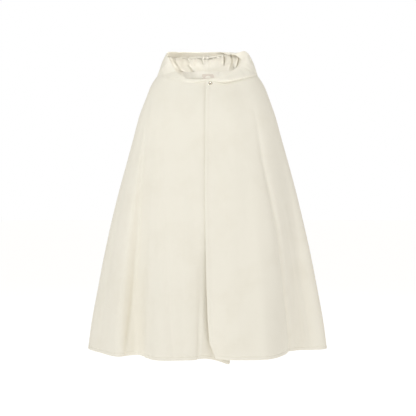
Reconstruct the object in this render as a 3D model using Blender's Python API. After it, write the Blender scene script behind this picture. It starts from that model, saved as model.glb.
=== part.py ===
"""A long hooded burnous cloak, worn open-hemmed and hollow, with its hood lowered at the back.

Metres, +Z up. The front faces -Y and the wearer's left is at +X. The origin lies in the middle
of the neck opening, level with the point where the two fronts lap at the throat.

Every panel lies on one surface that runs from the upper front edge, round the wearer's left
side, the back and the right side, to the hidden edge of the under front. A place on it is an
angle round the neck, in degrees from the throat, and a drop, from 0 at the neck seam to 1 at
the hem. The hood is a second surface, from the neck seam to its rim.
"""

import math

import bmesh
import bpy
import numpy as np

MM = 0.001

# Cloth and clearances
WOOL = 2.0 * MM
SATIN = 1.0 * MM
LABEL_CLOTH = 0.8 * MM
SEAM_GAP = 0.3 * MM
LAP_LIFT = 6.2 * MM  # middle of the upper front over the middle of the under front

# The neck seam, which sets the frame
NECK_HALF_WIDTH = 0.207
NECK_FRONT = 0.115
NECK_BACK = 0.100
NECK_SIDE_RISE = 0.041
NECK_BACK_RISE = 0.043
NECK_DIP = 0.006  # the seam dips this much either side of the throat
DIP_AT = 0.35  # as a share of the half width, as the next two
DIP_WIDTH = 0.22
THROAT_WIDTH = 0.16
THROAT_RISE = 0.006  # the seam rises this much at the throat, above the snap
HEM_HEIGHT = -1.085
SQUARENESS = 2.3  # of the rounded oblong that each level section follows
FOLD_EASE = 0.18  # how gently a fold begins
FAN_POWER = 0.75  # the fold lines spread fastest near the neck

# Angles of the edges and seams
UPPER_EDGE = -1.4
SIDE_SEAM_LEFT = 90.0
BACK_SEAM = 180.0
SIDE_SEAM_RIGHT = 270.0
UNDER_EDGE = 365.5

# Columns of the four panels, in degrees round the neck
FRONT_LEFT_ANGLES = (
    UPPER_EDGE, 2.0, 5.5, 9.0, 13.0, 18.0, 23.0, 28.0, 32.5, 37.0, 41.0, 45.0,
    48.5, 52.0, 55.5, 59.0, 62.5, 66.0, 70.0, 75.0, 82.0, SIDE_SEAM_LEFT,
)
BACK_LEFT_ANGLES = (
    SIDE_SEAM_LEFT, 97.0, 104.0, 111.0, 118.0, 123.5, 129.0, 134.5, 140.0, 145.5, 151.0,
    156.5, 162.0, 167.5, 173.3, 176.7, BACK_SEAM,
)
BACK_RIGHT_ANGLES = (
    BACK_SEAM, 183.0, 186.0, 192.0, 197.5, 203.0, 208.5, 214.0, 219.5, 225.0, 230.5,
    236.0, 242.0, 249.0, 256.0, 263.0, SIDE_SEAM_RIGHT,
)
FRONT_RIGHT_ANGLES = (
    SIDE_SEAM_RIGHT, 276.0, 282.0, 287.0, 291.5, 295.5, 299.5, 303.5, 307.0, 310.5, 314.0,
    317.5, 321.0, 325.0, 329.0, 333.0, 338.0, 343.5, 348.5, 352.5, 355.5, 358.0, 360.3,
    362.0, UNDER_EDGE,
)

# The hood takes every second column of the fronts and all of the backs'
HOOD_LEFT_ANGLES = FRONT_LEFT_ANGLES[:-1:2] + BACK_LEFT_ANGLES
HOOD_RIGHT_ANGLES = BACK_RIGHT_ANGLES + FRONT_RIGHT_ANGLES[2::2]

# Drops of the panels' rows
PANEL_DROPS = (
    0.0, 0.03, 0.075, 0.13, 0.19, 0.255, 0.32, 0.39, 0.46, 0.53, 0.60, 0.67, 0.74, 0.81,
    0.88, 0.945, 1.0,
)

# Level sections of the body, without its folds
# drop, half width, depth in front, depth behind
SECTIONS = (
    (0.00, NECK_HALF_WIDTH, NECK_FRONT, NECK_BACK),
    (0.025, 0.2262, 0.127, 0.109),
    (0.07, 0.2480, 0.143, 0.124),
    (0.14, 0.2770, 0.160, 0.140),
    (0.22, 0.3020, 0.174, 0.153),
    (0.34, 0.3405, 0.196, 0.174),
    (0.50, 0.3880, 0.222, 0.207),
    (0.66, 0.4290, 0.244, 0.240),
    (0.80, 0.4600, 0.266, 0.268),
    (0.92, 0.4850, 0.284, 0.290),
    (1.00, 0.4970, 0.292, 0.300),
)

# The folds that fall from the shoulders, one row for each line down the cloth
# line, angle at the neck, x at the hem, y at the hem, drop where it starts, lap, hem lower by
FOLDS = (
    ("upper edge", UPPER_EDGE, 0.031, -0.236, 0.70, 1.0, 0.0),
    ("upper edge fold", 9.0, 0.068, -0.262, 0.60, 1.0, 0.0),
    ("centre ridge", 22.0, 0.122, -0.272, 0.30, 1.0, 0.0),
    ("front ridge", 34.0, 0.205, -0.271, 0.15, 0.0, 0.0),
    ("ridge shoulder", 43.0, 0.252, -0.245, 0.05, 0.0, 0.0),
    ("slope", 51.0, 0.290, -0.190, 0.03, 0.0, 0.0),
    ("slope foot", 58.0, 0.320, -0.122, 0.03, 0.0, 0.0),
    ("left valley", 65.0, 0.352, -0.064, 0.03, 0.0, 0.0),
    ("flute in", 72.0, 0.392, -0.042, 0.03, 0.0, 0.0),
    ("flute face", 80.0, 0.448, -0.038, 0.03, 0.0, 0.0),
    ("left side", SIDE_SEAM_LEFT, 0.493, 0.000, 0.05, 0.0, 0.0),
    ("left flank", 100.0, 0.478, 0.080, 0.05, 0.0, 0.0),
    ("left back flute", 111.0, 0.424, 0.160, 0.05, 0.0, 0.0),
    ("left back valley", 121.0, 0.350, 0.178, 0.08, 0.0, 0.0),
    ("left blade slope", 130.0, 0.298, 0.218, 0.10, 0.0, 0.0),
    ("left blade ridge", 140.0, 0.245, 0.285, 0.12, 0.0, 0.0),
    ("left blade inside", 151.0, 0.165, 0.290, 0.16, 0.0, 0.0),
    ("left back hollow", 164.0, 0.086, 0.236, 0.22, 0.0, 0.0),
    ("back seam", BACK_SEAM, 0.004, 0.250, 0.25, 0.0, 0.0),
    ("centre back ridge", 192.0, -0.066, 0.298, 0.25, 0.0, 0.0),
    ("right blade inside", 204.0, -0.150, 0.290, 0.20, 0.0, 0.0),
    ("right back valley", 217.0, -0.224, 0.216, 0.12, 0.0, 0.0),
    ("right blade slope", 229.0, -0.290, 0.196, 0.10, 0.0, 0.0),
    ("right back flute", 240.0, -0.362, 0.214, 0.08, 0.0, 0.0),
    ("right flank", 251.0, -0.436, 0.142, 0.05, 0.0, 0.0),
    ("right flank low", 261.0, -0.480, 0.064, 0.05, 0.0, 0.0),
    ("right side", SIDE_SEAM_RIGHT, -0.4925, -0.005, 0.05, 0.0, 0.0),
    ("right front flank", 279.0, -0.460, -0.070, 0.05, 0.0, 0.0),
    ("right flank slope", 288.0, -0.408, -0.140, 0.05, 0.0, 0.0),
    ("right flute", 297.0, -0.352, -0.200, 0.05, 0.0, 0.0),
    ("right valley side", 304.0, -0.318, -0.182, 0.05, 0.0, 0.0),
    ("right valley", 311.0, -0.288, -0.160, 0.05, 0.0, 0.0),
    ("right valley rise", 318.0, -0.258, -0.178, 0.08, 0.0, 0.0),
    ("right ridge rise", 325.0, -0.226, -0.244, 0.12, 0.0, 0.0),
    ("right ridge", 333.0, -0.184, -0.286, 0.20, 0.0, 0.0),
    ("right ridge inside", 344.0, -0.108, -0.286, 0.30, 0.0, 0.0),
    ("closing slope", 350.5, -0.070, -0.278, 0.40, 0.0, 0.0),
    ("closing hollow", 356.0, -0.036, -0.264, 0.45, 0.0, 0.0),
    ("turn", 360.3, -0.006, -0.234, 0.50, 0.0, 2.0 * MM),
    ("under lap", 363.2, 0.040, -0.210, 0.50, 0.0, 15.0 * MM),
    ("under edge", UNDER_EDGE, 0.088, -0.206, 0.50, 0.0, 32.0 * MM),
)

# Where the two front edges run: drop, x of the upper edge, x of the under edge
FRONT_EDGES = (
    (0.000, -0.0080, 0.027),
    (0.200, -0.0100, 0.028),
    (0.400, -0.0118, 0.032),
    (0.680, -0.0060, 0.045),
    (0.860, 0.0000, 0.065),
    (0.945, 0.0070, 0.078),
    (1.000, 0.0310, 0.088),
)

# The hood's rim: angle round the neck, x, y, z
RIM = (
    (UPPER_EDGE, -0.0080, -0.1215, 0.013),
    (7.0, 0.0310, -0.1205, 0.017),
    (20.0, 0.0600, -0.1090, 0.029),
    (32.0, 0.0790, -0.0900, 0.040),
    (44.0, 0.1020, -0.0660, 0.056),
    (56.0, 0.1190, -0.0380, 0.0725),
    (68.0, 0.1345, -0.0080, 0.093),
    (80.0, 0.1405, 0.0250, 0.111),
    (92.0, 0.1370, 0.0540, 0.125),
    (104.0, 0.1280, 0.0780, 0.137),
    (116.0, 0.1170, 0.0980, 0.148),
    (132.0, 0.0900, 0.1220, 0.157),
    (152.0, 0.0600, 0.1400, 0.167),
    (BACK_SEAM, 0.0000, 0.1460, 0.169),
    (208.0, -0.0720, 0.1400, 0.168),
    (228.0, -0.1300, 0.1160, 0.165),
    (244.0, -0.1635, 0.0850, 0.158),
    (268.0, -0.1680, 0.0400, 0.131),
    (288.0, -0.1480, -0.0100, 0.095),
    (302.0, -0.1310, -0.0500, 0.059),
    (312.0, -0.1130, -0.0800, 0.036),
    (322.0, -0.0900, -0.0950, 0.021),
    (340.0, -0.0480, -0.1090, 0.014),
    (354.0, -0.0140, -0.1145, 0.0125),
    (UNDER_EDGE, 0.0270, -0.1150, 0.0125),
)

# Where the rim curls inward: angle round the neck, x, y, z from the rim to the top of the curl
CURL = (
    (UPPER_EDGE, 0.000, 0.000, 0.000),
    (36.0, 0.000, 0.000, 0.000),
    (46.0, 0.000, 0.000, 0.000),
    (56.0, 0.002, 0.000, 0.003),
    (68.0, 0.006, 0.002, 0.014),
    (80.0, 0.012, 0.006, 0.034),
    (92.0, 0.019, 0.008, 0.044),
    (104.0, 0.027, 0.006, 0.041),
    (116.0, 0.033, 0.004, 0.036),
    (132.0, 0.030, 0.002, 0.032),
    (152.0, 0.012, 0.000, 0.018),
    (166.0, 0.001, 0.000, 0.005),
    (BACK_SEAM, 0.000, 0.000, 0.000),
    (190.0, 0.000, 0.000, 0.000),
    (200.0, 0.000, 0.000, 0.000),
    (210.0, 0.000, 0.000, 0.000),
    (230.0, 0.000, 0.000, 0.000),
    (UNDER_EDGE, 0.000, 0.000, 0.000),
)
CURL_DEPTH = 0.036  # the curl takes this much of the hood below its rim
CURL_POWER = 2.6

# The hood's profile at the back, from the neck seam over the roll, down the pouch and up to
# the rim: share of the way along, height, distance outside what it hangs on, bulge at the sides
POUCH = (
    (0.00, 0.043, 0.000, 0.000),
    (0.07, 0.060, 0.000, 0.002),
    (0.13, 0.0755, 0.008, 0.003),
    (0.19, 0.062, 0.016, 0.004),
    (0.28, 0.005, 0.013, 0.006),
    (0.38, -0.070, 0.014, 0.007),
    (0.46, -0.128, 0.022, 0.008),
    (0.52, -0.152, 0.034, 0.008),
    (0.58, -0.130, 0.047, 0.008),
    (0.67, -0.060, 0.058, 0.008),
    (0.78, 0.020, 0.064, 0.007),
    (0.89, 0.100, 0.050, 0.005),
    (0.96, 0.146, 0.027, 0.002),
    (1.00, 0.169, 0.000, 0.000),
)
POUCH_FULL = 6.0  # degrees each side of the back seam where the pouch is whole
POUCH_END = 66.0  # and where it has died away
SHALLOW_SPREAD = 0.040  # how far a shallow pouch's layers stand apart
SHALLOW_PEAK = 27 / 256  # the most that pouch * (1 - pouch) ** 3 comes to
POUCH_POWER = 0.4  # a shallow pouch already hangs well clear of the back
FULL_BULGE_HEIGHT = 0.06  # a hood wall lower than this bulges less
# Rows of the hood below its facing, closer together over the roll and round the bottom
HOOD_ROWS = (
    0.0, 0.04, 0.07, 0.10, 0.12, 0.14, 0.165, 0.20, 0.26, 0.33, 0.40, 0.45, 0.48, 0.505,
    0.53, 0.555, 0.59, 0.64, 0.70, 0.77, 0.84, 0.90, 0.95, 1.0,
)

# Facing and lining of the hood
FACING_WIDTH = 16.0 * MM
FACING_SHARE = 0.3  # of the hood's height at most, where it runs low at the throat
LINING_FRONT = 52.0  # degrees from the throat where the lining ends, in front
LINING_SEAM = 1.0 * MM  # the lining stops this far above the neck seam
# Gathers of the lining: angle, depth, width in degrees
GATHERS = (
    (128.0, 4.0 * MM, 5.0),
    (140.0, 2.5 * MM, 4.0),
    (158.0, 5.0 * MM, 4.5),
    (172.0, 2.5 * MM, 5.0),
    (187.0, 4.5 * MM, 4.0),
    (206.0, 7.0 * MM, 6.0),
    (222.0, 3.0 * MM, 5.0),
    (235.0, 4.0 * MM, 5.0),
)

# The gathers start this far up the hood, are whole further up, and die away below the facing
GATHER_START = 0.62
GATHER_GROW = 0.20
GATHER_FADE = 0.08

# Steps for reading a surface's slope and length
ANGLE_STEP = 0.4
SHARE_STEP = 0.004
LENGTH_STEPS = 60
NECK_EASE = 12.0 * MM  # the walls turn into the neck seam over this distance
CLOTH_CREASE = math.radians(50)
METAL_CREASE = math.radians(35)

# Label and snap
LABEL_ANGLES = (173.3, 176.7, BACK_SEAM, 183.0, 186.0)
LABEL_ROWS = 4
LABEL_SEAM = 3.0 * MM  # the label's lower edge lies this far above the neck seam
SNAP_X = 0.011
SNAP_HEIGHT = -0.0065
SNAP_CAP_RADIUS = 8.8 * MM
SNAP_CAP_HEIGHT = 3.4 * MM
SNAP_CAP_EDGE = 0.5 * MM
SNAP_CAP_RINGS = 6
SNAP_SOCKET_RADIUS = 7.0 * MM
SNAP_STUD_RADIUS = 6.0 * MM
SNAP_DISC = 1.2 * MM
SNAP_SEAT = 0.5 * MM  # a flat disc's clearance over the curved cloth


def curve_through(knots, values, at):
    """The natural cubic curve through the values at the knots, read at the places given."""
    knots = np.asarray(knots, float)
    values = np.asarray(values, float).reshape(len(knots), -1)
    at = np.asarray(at, float)
    step = np.diff(knots)
    slope = np.diff(values, axis=0) / step[:, None]
    system = np.eye(len(knots))
    bend = np.zeros_like(values)
    for i in range(1, len(knots) - 1):
        system[i, i - 1 : i + 2] = step[i - 1], 2 * (step[i - 1] + step[i]), step[i]
        bend[i] = 6 * (slope[i] - slope[i - 1])
    bend = np.linalg.solve(system, bend)
    span = np.clip(np.searchsorted(knots, at, side="right") - 1, 0, len(knots) - 2)
    along = (at - knots[span])[:, None]
    left = (knots[span + 1] - at)[:, None]
    width = step[span][:, None]
    cubic = bend[span] * left**3 + bend[span + 1] * along**3
    line = (values[span] / width - bend[span] * width / 6) * left
    return cubic / (6 * width) + line + (values[span + 1] / width - bend[span + 1] * width / 6) * along


def rounded(value):
    """Sine or cosine of a turn, squared off for the rounded oblong."""
    return np.sign(value) * np.abs(value) ** (2 / SQUARENESS)


def smooth_step(share):
    share = np.clip(share, 0, 1)
    return share * share * (3 - 2 * share)


def neck_height(turn):
    """Height of the neck seam at a turn round the neck, in radians from the throat."""
    ahead = np.maximum(np.cos(turn), 0) ** 2.0
    behind = np.maximum(-np.cos(turn), 0) ** 2.0
    aside = np.abs(rounded(np.sin(turn)))
    beside = np.exp(-(((aside - DIP_AT) / DIP_WIDTH) ** 2)) * (np.cos(turn) > 0)
    throat = np.exp(-((aside / THROAT_WIDTH) ** 2)) * (np.cos(turn) > 0)
    rise = NECK_SIDE_RISE * (1 - ahead) + (NECK_BACK_RISE - NECK_SIDE_RISE) * behind
    return rise - NECK_DIP * beside + THROAT_RISE * throat


def fold_growth(drop, start):
    """How much of a fold there is at a drop: none at its start, all of it at the hem."""
    share = np.clip((drop - start) / (1 - start), 0, 1)
    whole = math.sqrt(1 + FOLD_EASE**2) - FOLD_EASE
    return (np.sqrt(share**2 + FOLD_EASE**2) - FOLD_EASE) / whole


class Body:
    """The one surface that the fronts and backs are cut from."""

    def __init__(self):
        self.angles = np.array([row[1] for row in FOLDS])
        hem_x = np.array([row[2] for row in FOLDS])
        hem_y = np.array([row[3] for row in FOLDS])
        self.start = np.array([row[4] for row in FOLDS])
        self.lap = np.array([row[5] for row in FOLDS])
        self.lower = np.array([row[6] for row in FOLDS])
        self.turn_at_neck = np.radians(self.angles)
        half, front, back = SECTIONS[-1][1:]
        depth = np.where(hem_y < 0, front, back)
        across = np.sign(hem_x) * (np.abs(hem_x) / half) ** (SQUARENESS / 2)
        ahead = -np.sign(hem_y) * (np.abs(hem_y) / depth) ** (SQUARENESS / 2)
        turn = np.arctan2(across, ahead)
        whole = 2 * math.pi
        self.turn_at_hem = turn + whole * np.round((self.turn_at_neck - turn) / whole)
        self.reach = (np.abs(across) ** 2 + np.abs(ahead) ** 2) ** (1 / SQUARENESS)

    def lines(self, drop):
        """Where each fold line is at a drop: its x, its y, and how much the hem hangs lower."""
        half, front, back = curve_through(
            [row[0] for row in SECTIONS], [row[1:] for row in SECTIONS], [drop]
        )[0]
        turn = self.turn_at_neck + (self.turn_at_hem - self.turn_at_neck) * drop**FAN_POWER
        reach = 1 + (self.reach - 1) * fold_growth(drop, self.start)
        depth = np.where(np.cos(turn) > 0, front, back)
        x = reach * half * rounded(np.sin(turn))
        y = -reach * depth * rounded(np.cos(turn)) - LAP_LIFT * self.lap
        drops = [row[0] for row in FRONT_EDGES]
        x[0] = np.interp(drop, drops, [row[1] for row in FRONT_EDGES])
        x[-1] = np.interp(drop, drops, [row[2] for row in FRONT_EDGES])
        x[-2] = (x[-1] + x[-3]) / 2
        return np.stack([x, y, self.lower], axis=1)

    def ring(self, drop, angles):
        """Points of the body at one drop, at the angles given."""
        points = curve_through(self.angles, self.lines(drop), angles)
        top = neck_height(np.radians(angles))
        points[:, 2] = top + (HEM_HEIGHT - points[:, 2] - top) * drop
        return points

    def grid(self, drops, angles):
        return np.array([self.ring(drop, angles) for drop in drops])

    def normals(self, drops, angles):
        """Unit normals on the outer side."""
        angles = np.asarray(angles, float)
        around = self.grid(drops, angles + ANGLE_STEP) - self.grid(drops, angles - ANGLE_STEP)
        before = np.maximum(np.asarray(drops) - SHARE_STEP, 0)
        after = np.minimum(np.asarray(drops) + SHARE_STEP, 1)
        return unit(np.cross(self.grid(after, angles) - self.grid(before, angles), around))


class Hood:
    """The surface of the lowered hood, from the neck seam to the rim."""

    def __init__(self, body):
        self.body = body

    def column(self, angle, shares):
        """Points of the hood at one angle, at shares of the way from the seam to the rim."""
        seam = self.body.ring(0.0, [angle])[0]
        beside = self.body.ring(0.0, [angle - ANGLE_STEP, angle + ANGLE_STEP])
        along = beside[1] - beside[0]
        outward = np.array([along[1], -along[0], 0.0])
        outward /= np.linalg.norm(outward)
        curl = curve_through([row[0] for row in CURL], [row[1:] for row in CURL], [angle])[0]
        rim = curve_through([row[0] for row in RIM], [row[1:] for row in RIM], [angle])[0] + curl
        from_back = abs(angle - BACK_SEAM)
        pouch = smooth_step((POUCH_END - from_back) / (POUCH_END - POUCH_FULL))
        points = []
        for share, height, clear, bulge in POUCH:
            line = seam + (rim - seam) * share
            shift = (seam[2] - POUCH[0][1]) * (1 - share) + (rim[2] - POUCH[-1][1]) * share
            z = line[2] + (height + shift - line[2]) * pouch
            if z >= seam[2]:
                spine = seam + (rim - seam) * (z - seam[2]) / (rim[2] - seam[2])
            else:
                drop = (seam[2] - z) / (seam[2] - HEM_HEIGHT)
                spine = self.body.ring(drop, [angle])[0]
            shallow = pouch * (1 - pouch) ** 3 / SHALLOW_PEAK
            out = clear * pouch**POUCH_POWER + SHALLOW_SPREAD * shallow * 4 * share * (1 - share)
            out += bulge * (1 - pouch) * min(1.0, (rim[2] - seam[2]) / FULL_BULGE_HEIGHT)
            points.append(spine + outward * out)
        length = np.linalg.norm(np.diff(points, axis=0), axis=1).sum()
        turned = np.clip(1 - (1 - np.asarray(shares)) * length / CURL_DEPTH, 0, 1) ** CURL_POWER
        return curve_through([row[0] for row in POUCH], points, shares) - curl * turned[:, None]

    def grid(self, shares, angles):
        """Shares may be one list for all angles, or one for each angle."""
        shares = np.broadcast_to(shares, (len(angles), np.shape(shares)[-1]))
        columns = [self.column(angle, row) for angle, row in zip(angles, shares)]
        return np.stack(columns, axis=1)

    def normals(self, shares, angles):
        """Unit normals on the wool side."""
        angles = np.asarray(angles, float)
        shares = np.broadcast_to(shares, (len(angles), np.shape(shares)[-1]))
        around = self.grid(shares, angles + ANGLE_STEP) - self.grid(shares, angles - ANGLE_STEP)
        before = np.maximum(shares - SHARE_STEP, 0)
        after = np.minimum(shares + SHARE_STEP, 1)
        return unit(np.cross(around, self.grid(after, angles) - self.grid(before, angles)))

    def rows(self, angles):
        """Shares of the hood's rows at each angle: HOOD_ROWS up to the facing, then its band."""
        rows = []
        for angle in angles:
            points = self.column(angle, np.linspace(0, 1, LENGTH_STEPS))
            length = np.linalg.norm(np.diff(points, axis=0), axis=1).sum()
            facing = 1 - min(FACING_WIDTH, FACING_SHARE * length) / length
            rows.append(np.append(np.array(HOOD_ROWS) * facing, [(facing + 1) / 2, 1.0]))
        return np.array(rows)


def unit(vectors):
    return vectors / np.linalg.norm(vectors, axis=-1, keepdims=True)


def neck_seam(body, hood, angles):
    """Points and normals of the neck seam, which runs straight from column to column of the hood.

    The normals are halfway between the body's and the hood's.
    """
    columns = HOOD_LEFT_ANGLES if angles[0] < BACK_SEAM else HOOD_RIGHT_ANGLES
    points = body.ring(0.0, columns)
    normals = unit(body.normals([0.0], columns)[0] + hood.normals([0.0], columns)[0])

    def between(values):
        return np.stack([np.interp(angles, columns, values[:, k]) for k in range(3)], axis=1)

    return between(points), unit(between(normals))


def eased_to_neck(normal, grid, shared):
    """Normals that ease to the neck seam's own as they come near it."""
    away = np.linalg.norm(grid - grid[0], axis=2, keepdims=True)
    weight = smooth_step(1 - away / NECK_EASE)
    return unit(normal * (1 - weight) + shared * weight)


def with_seams(grid, first_row=0.0, last_row=0.0, first_column=0.0, last_column=0.0):
    """The grid with its edges drawn in by the distances given."""
    grid = grid.copy()

    def drawn(edge, inside, distance):
        step = inside - edge
        return edge + step * distance / np.linalg.norm(step, axis=1, keepdims=True)

    if first_row:
        grid[0] = drawn(grid[0], grid[1], first_row)
    if last_row:
        grid[-1] = drawn(grid[-1], grid[-2], last_row)
    if first_column:
        grid[:, 0] = drawn(grid[:, 0], grid[:, 1], first_column)
    if last_column:
        grid[:, -1] = drawn(grid[:, -1], grid[:, -2], last_column)
    return grid


def wall(name, outer, inner, material):
    """A closed wall between two grids of the same size.

    Each cell is cut along the same diagonal in both, so that layers that follow each other
    round a twisted fold stay clear of each other.
    """
    rows, columns = outer.shape[:2]
    mesh = bpy.data.meshes.new(name)
    bm = bmesh.new()
    sides = []
    for grid in (outer, inner):
        sides.append([[bm.verts.new(point) for point in row] for row in grid])
    for side in sides:
        for i in range(rows - 1):
            for j in range(columns - 1):
                bm.faces.new((side[i][j], side[i][j + 1], side[i + 1][j + 1]))
                bm.faces.new((side[i][j], side[i + 1][j + 1], side[i + 1][j]))
    rim = [(0, j) for j in range(columns)]
    rim += [(i, columns - 1) for i in range(1, rows)]
    rim += [(rows - 1, j) for j in range(columns - 2, -1, -1)]
    rim += [(i, 0) for i in range(rows - 2, 0, -1)]
    corners = [(sides[0][i][j], sides[1][i][j]) for i, j in rim]
    for (top, bottom), (next_top, next_bottom) in zip(corners, corners[1:] + corners[:1]):
        bm.faces.new((top, next_top, next_bottom, bottom))
    bmesh.ops.recalc_face_normals(bm, faces=bm.faces)
    bm.to_mesh(mesh)
    bm.free()
    mesh.shade_smooth()
    mesh.set_sharp_from_angle(angle=CLOTH_CREASE)
    return placed(name, mesh, material)


def placed(name, mesh, material):
    piece = bpy.data.objects.new(name, mesh)
    mesh.materials.append(material)
    bpy.context.collection.objects.link(piece)
    piece.parent = bpy.data.objects["cloak"]
    return piece


def finish(name, colour, roughness, metallic=0.0):
    material = bpy.data.materials.new(name)
    material.use_nodes = True
    shader = material.node_tree.nodes["Principled BSDF"]
    shader.inputs["Base Color"].default_value = (*colour, 1.0)
    shader.inputs["Roughness"].default_value = roughness
    shader.inputs["Metallic"].default_value = metallic
    return material


def build_panels(body, hood, wool):
    """Two fronts and two backs, parted at the side seams and down the back."""
    # name, columns, whether each edge is a seam
    for name, angles, seam_before, seam_after in (
        ("front_left", FRONT_LEFT_ANGLES, False, True),
        ("back_left", BACK_LEFT_ANGLES, True, True),
        ("back_right", BACK_RIGHT_ANGLES, True, True),
        ("front_right", FRONT_RIGHT_ANGLES, True, False),
    ):
        grid = body.grid(PANEL_DROPS, angles)
        grid[0], shared = neck_seam(body, hood, angles)
        normal = eased_to_neck(body.normals(PANEL_DROPS, angles), grid, shared)
        grid = with_seams(
            grid,
            first_row=SEAM_GAP / 2,
            first_column=seam_before * SEAM_GAP / 2,
            last_column=seam_after * SEAM_GAP / 2,
        )
        wall(name, grid + normal * WOOL / 2, grid - normal * WOOL / 2, wool)


def build_hood(body, hood, wool, satin):
    """Two halves of the hood with their facings and linings."""
    band = len(HOOD_ROWS) - 1
    inner_side = WOOL / 2 + SEAM_GAP
    for side, angles in (
        ("left", HOOD_LEFT_ANGLES),
        ("right", HOOD_RIGHT_ANGLES),
    ):
        angles = np.array(angles)
        back = "first_column" if side == "right" else "last_column"
        seam = {back: SEAM_GAP / 2}
        shares = hood.rows(angles)
        grid = hood.grid(shares, angles)
        shared = neck_seam(body, hood, angles)[1]
        normal = eased_to_neck(hood.normals(shares, angles), grid, shared)
        whole = with_seams(grid, first_row=SEAM_GAP / 2, **seam)
        wall(f"hood_{side}", whole + normal * WOOL / 2, whole - normal * WOOL / 2, wool)

        facing = with_seams(grid[band:], first_row=SEAM_GAP / 2, **seam)
        outer = facing - normal[band:] * inner_side
        wall(f"hood_facing_{side}", outer, outer - normal[band:] * SATIN, wool)

        lined = np.abs(angles - BACK_SEAM) <= BACK_SEAM - LINING_FRONT
        lining = with_seams(
            grid[: band + 1, lined], first_row=LINING_SEAM, last_row=SEAM_GAP / 2, **seam
        )
        ruffle = gather_depth(angles[lined], shares.T[: band + 1, lined])
        outer = lining - normal[: band + 1, lined] * (inner_side + ruffle[:, :, None])
        wall(f"hood_lining_{side}", outer, outer - normal[: band + 1, lined] * SATIN, satin)


def gather_depth(angles, shares):
    """How far the lining stands off the hood, by rows and columns."""
    depth = np.zeros(shares.shape)
    for angle, height, width in GATHERS:
        depth += height * np.exp(-(((np.asarray(angles) - angle) / width) ** 2))
    grown = smooth_step((shares - GATHER_START) / GATHER_GROW)
    return depth * grown * smooth_step((1.0 - shares) / GATHER_FADE)


def build_label(hood, woven):
    """A bare woven label at the back of the neck, on the lining."""
    shares = hood.rows(LABEL_ANGLES)[:, :LABEL_ROWS]
    grid = with_seams(hood.grid(shares, LABEL_ANGLES), first_row=LABEL_SEAM)
    normal = hood.normals(shares, LABEL_ANGLES)
    lies_at = WOOL / 2 + SEAM_GAP + SATIN + SEAM_GAP
    wall("label", grid - normal * lies_at, grid - normal * (lies_at + LABEL_CLOTH), woven)


def round_piece(name, profile, centre, axis, material, around=24):
    """A turned piece: profile rows are radius and height along the axis."""
    axis = axis / np.linalg.norm(axis)
    across = np.cross(axis, (0, 0, 1))
    across /= np.linalg.norm(across)
    upright = np.cross(across, axis)
    bm = bmesh.new()
    rings = []
    for radius, height in profile:
        if radius == 0:
            rings.append([bm.verts.new(centre + axis * height)])
            continue
        ring = []
        for i in range(around):
            turn = 2 * math.pi * i / around
            spoke = across * math.cos(turn) + upright * math.sin(turn)
            ring.append(bm.verts.new(centre + axis * height + spoke * radius))
        rings.append(ring)
    for low, high in zip(rings, rings[1:]):
        for i in range(around):
            k = (i + 1) % around
            if len(low) == 1:
                bm.faces.new((low[0], high[i], high[k]))
            elif len(high) == 1:
                bm.faces.new((low[i], high[0], low[k]))
            else:
                bm.faces.new((low[i], high[i], high[k], low[k]))
    bmesh.ops.recalc_face_normals(bm, faces=bm.faces)
    mesh = bpy.data.meshes.new(name)
    bm.to_mesh(mesh)
    bm.free()
    mesh.shade_smooth()
    mesh.set_sharp_from_angle(angle=METAL_CREASE)
    return placed(name, mesh, material)


def front_place(body, x, height):
    """The middle of the upper front's wall, and its outward direction, at an x and a height."""
    drops = PANEL_DROPS[:3]
    rows = body.grid(drops, np.linspace(UPPER_EDGE, FRONT_LEFT_ANGLES[3], LENGTH_STEPS))
    column = np.abs(rows[0, :, 0] - x).argmin()
    line = rows[:, column]
    at = np.interp(-height, -line[:, 2], np.arange(len(drops)))
    below = int(at)
    middle = line[below] + (line[below + 1] - line[below]) * (at - below)
    middle[0] = x
    down = line[below + 1] - line[below]
    around = rows[0, column + 1] - rows[0, column - 1]
    return middle, unit(np.cross(down, around))


def build_snap(body, metal):
    """The closed snap: a domed cap outside, its socket behind, and the stud on the under front."""
    centre, outward = front_place(body, SNAP_X, SNAP_HEIGHT)
    base = centre + outward * (WOOL / 2 + SNAP_SEAT)
    dome = [(0.0, 0.0), (SNAP_CAP_RADIUS, 0.0), (SNAP_CAP_RADIUS, SNAP_CAP_EDGE)]
    for i in range(1, SNAP_CAP_RINGS):
        lean = math.pi / 2 * i / SNAP_CAP_RINGS
        rise = SNAP_CAP_EDGE + (SNAP_CAP_HEIGHT - SNAP_CAP_EDGE) * math.sin(lean)
        dome.append((SNAP_CAP_RADIUS * math.cos(lean), rise))
    dome.append((0.0, SNAP_CAP_HEIGHT))
    round_piece("snap_cap", dome, base, outward, metal)

    under_side = centre - outward * (WOOL / 2 + SNAP_SEAT)
    socket = [(0.0, 0.0), (SNAP_SOCKET_RADIUS, 0.0), (SNAP_SOCKET_RADIUS, SNAP_DISC), (0.0, SNAP_DISC)]
    round_piece("snap_socket", socket, under_side - outward * SNAP_DISC, outward, metal)
    stud = [(0.0, 0.0), (SNAP_STUD_RADIUS, 0.0), (SNAP_STUD_RADIUS, SNAP_DISC), (0.0, SNAP_DISC)]
    stud_top = under_side - outward * (SNAP_DISC + SEAM_GAP)
    round_piece("snap_stud", stud, stud_top - outward * SNAP_DISC, outward, metal)


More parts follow.
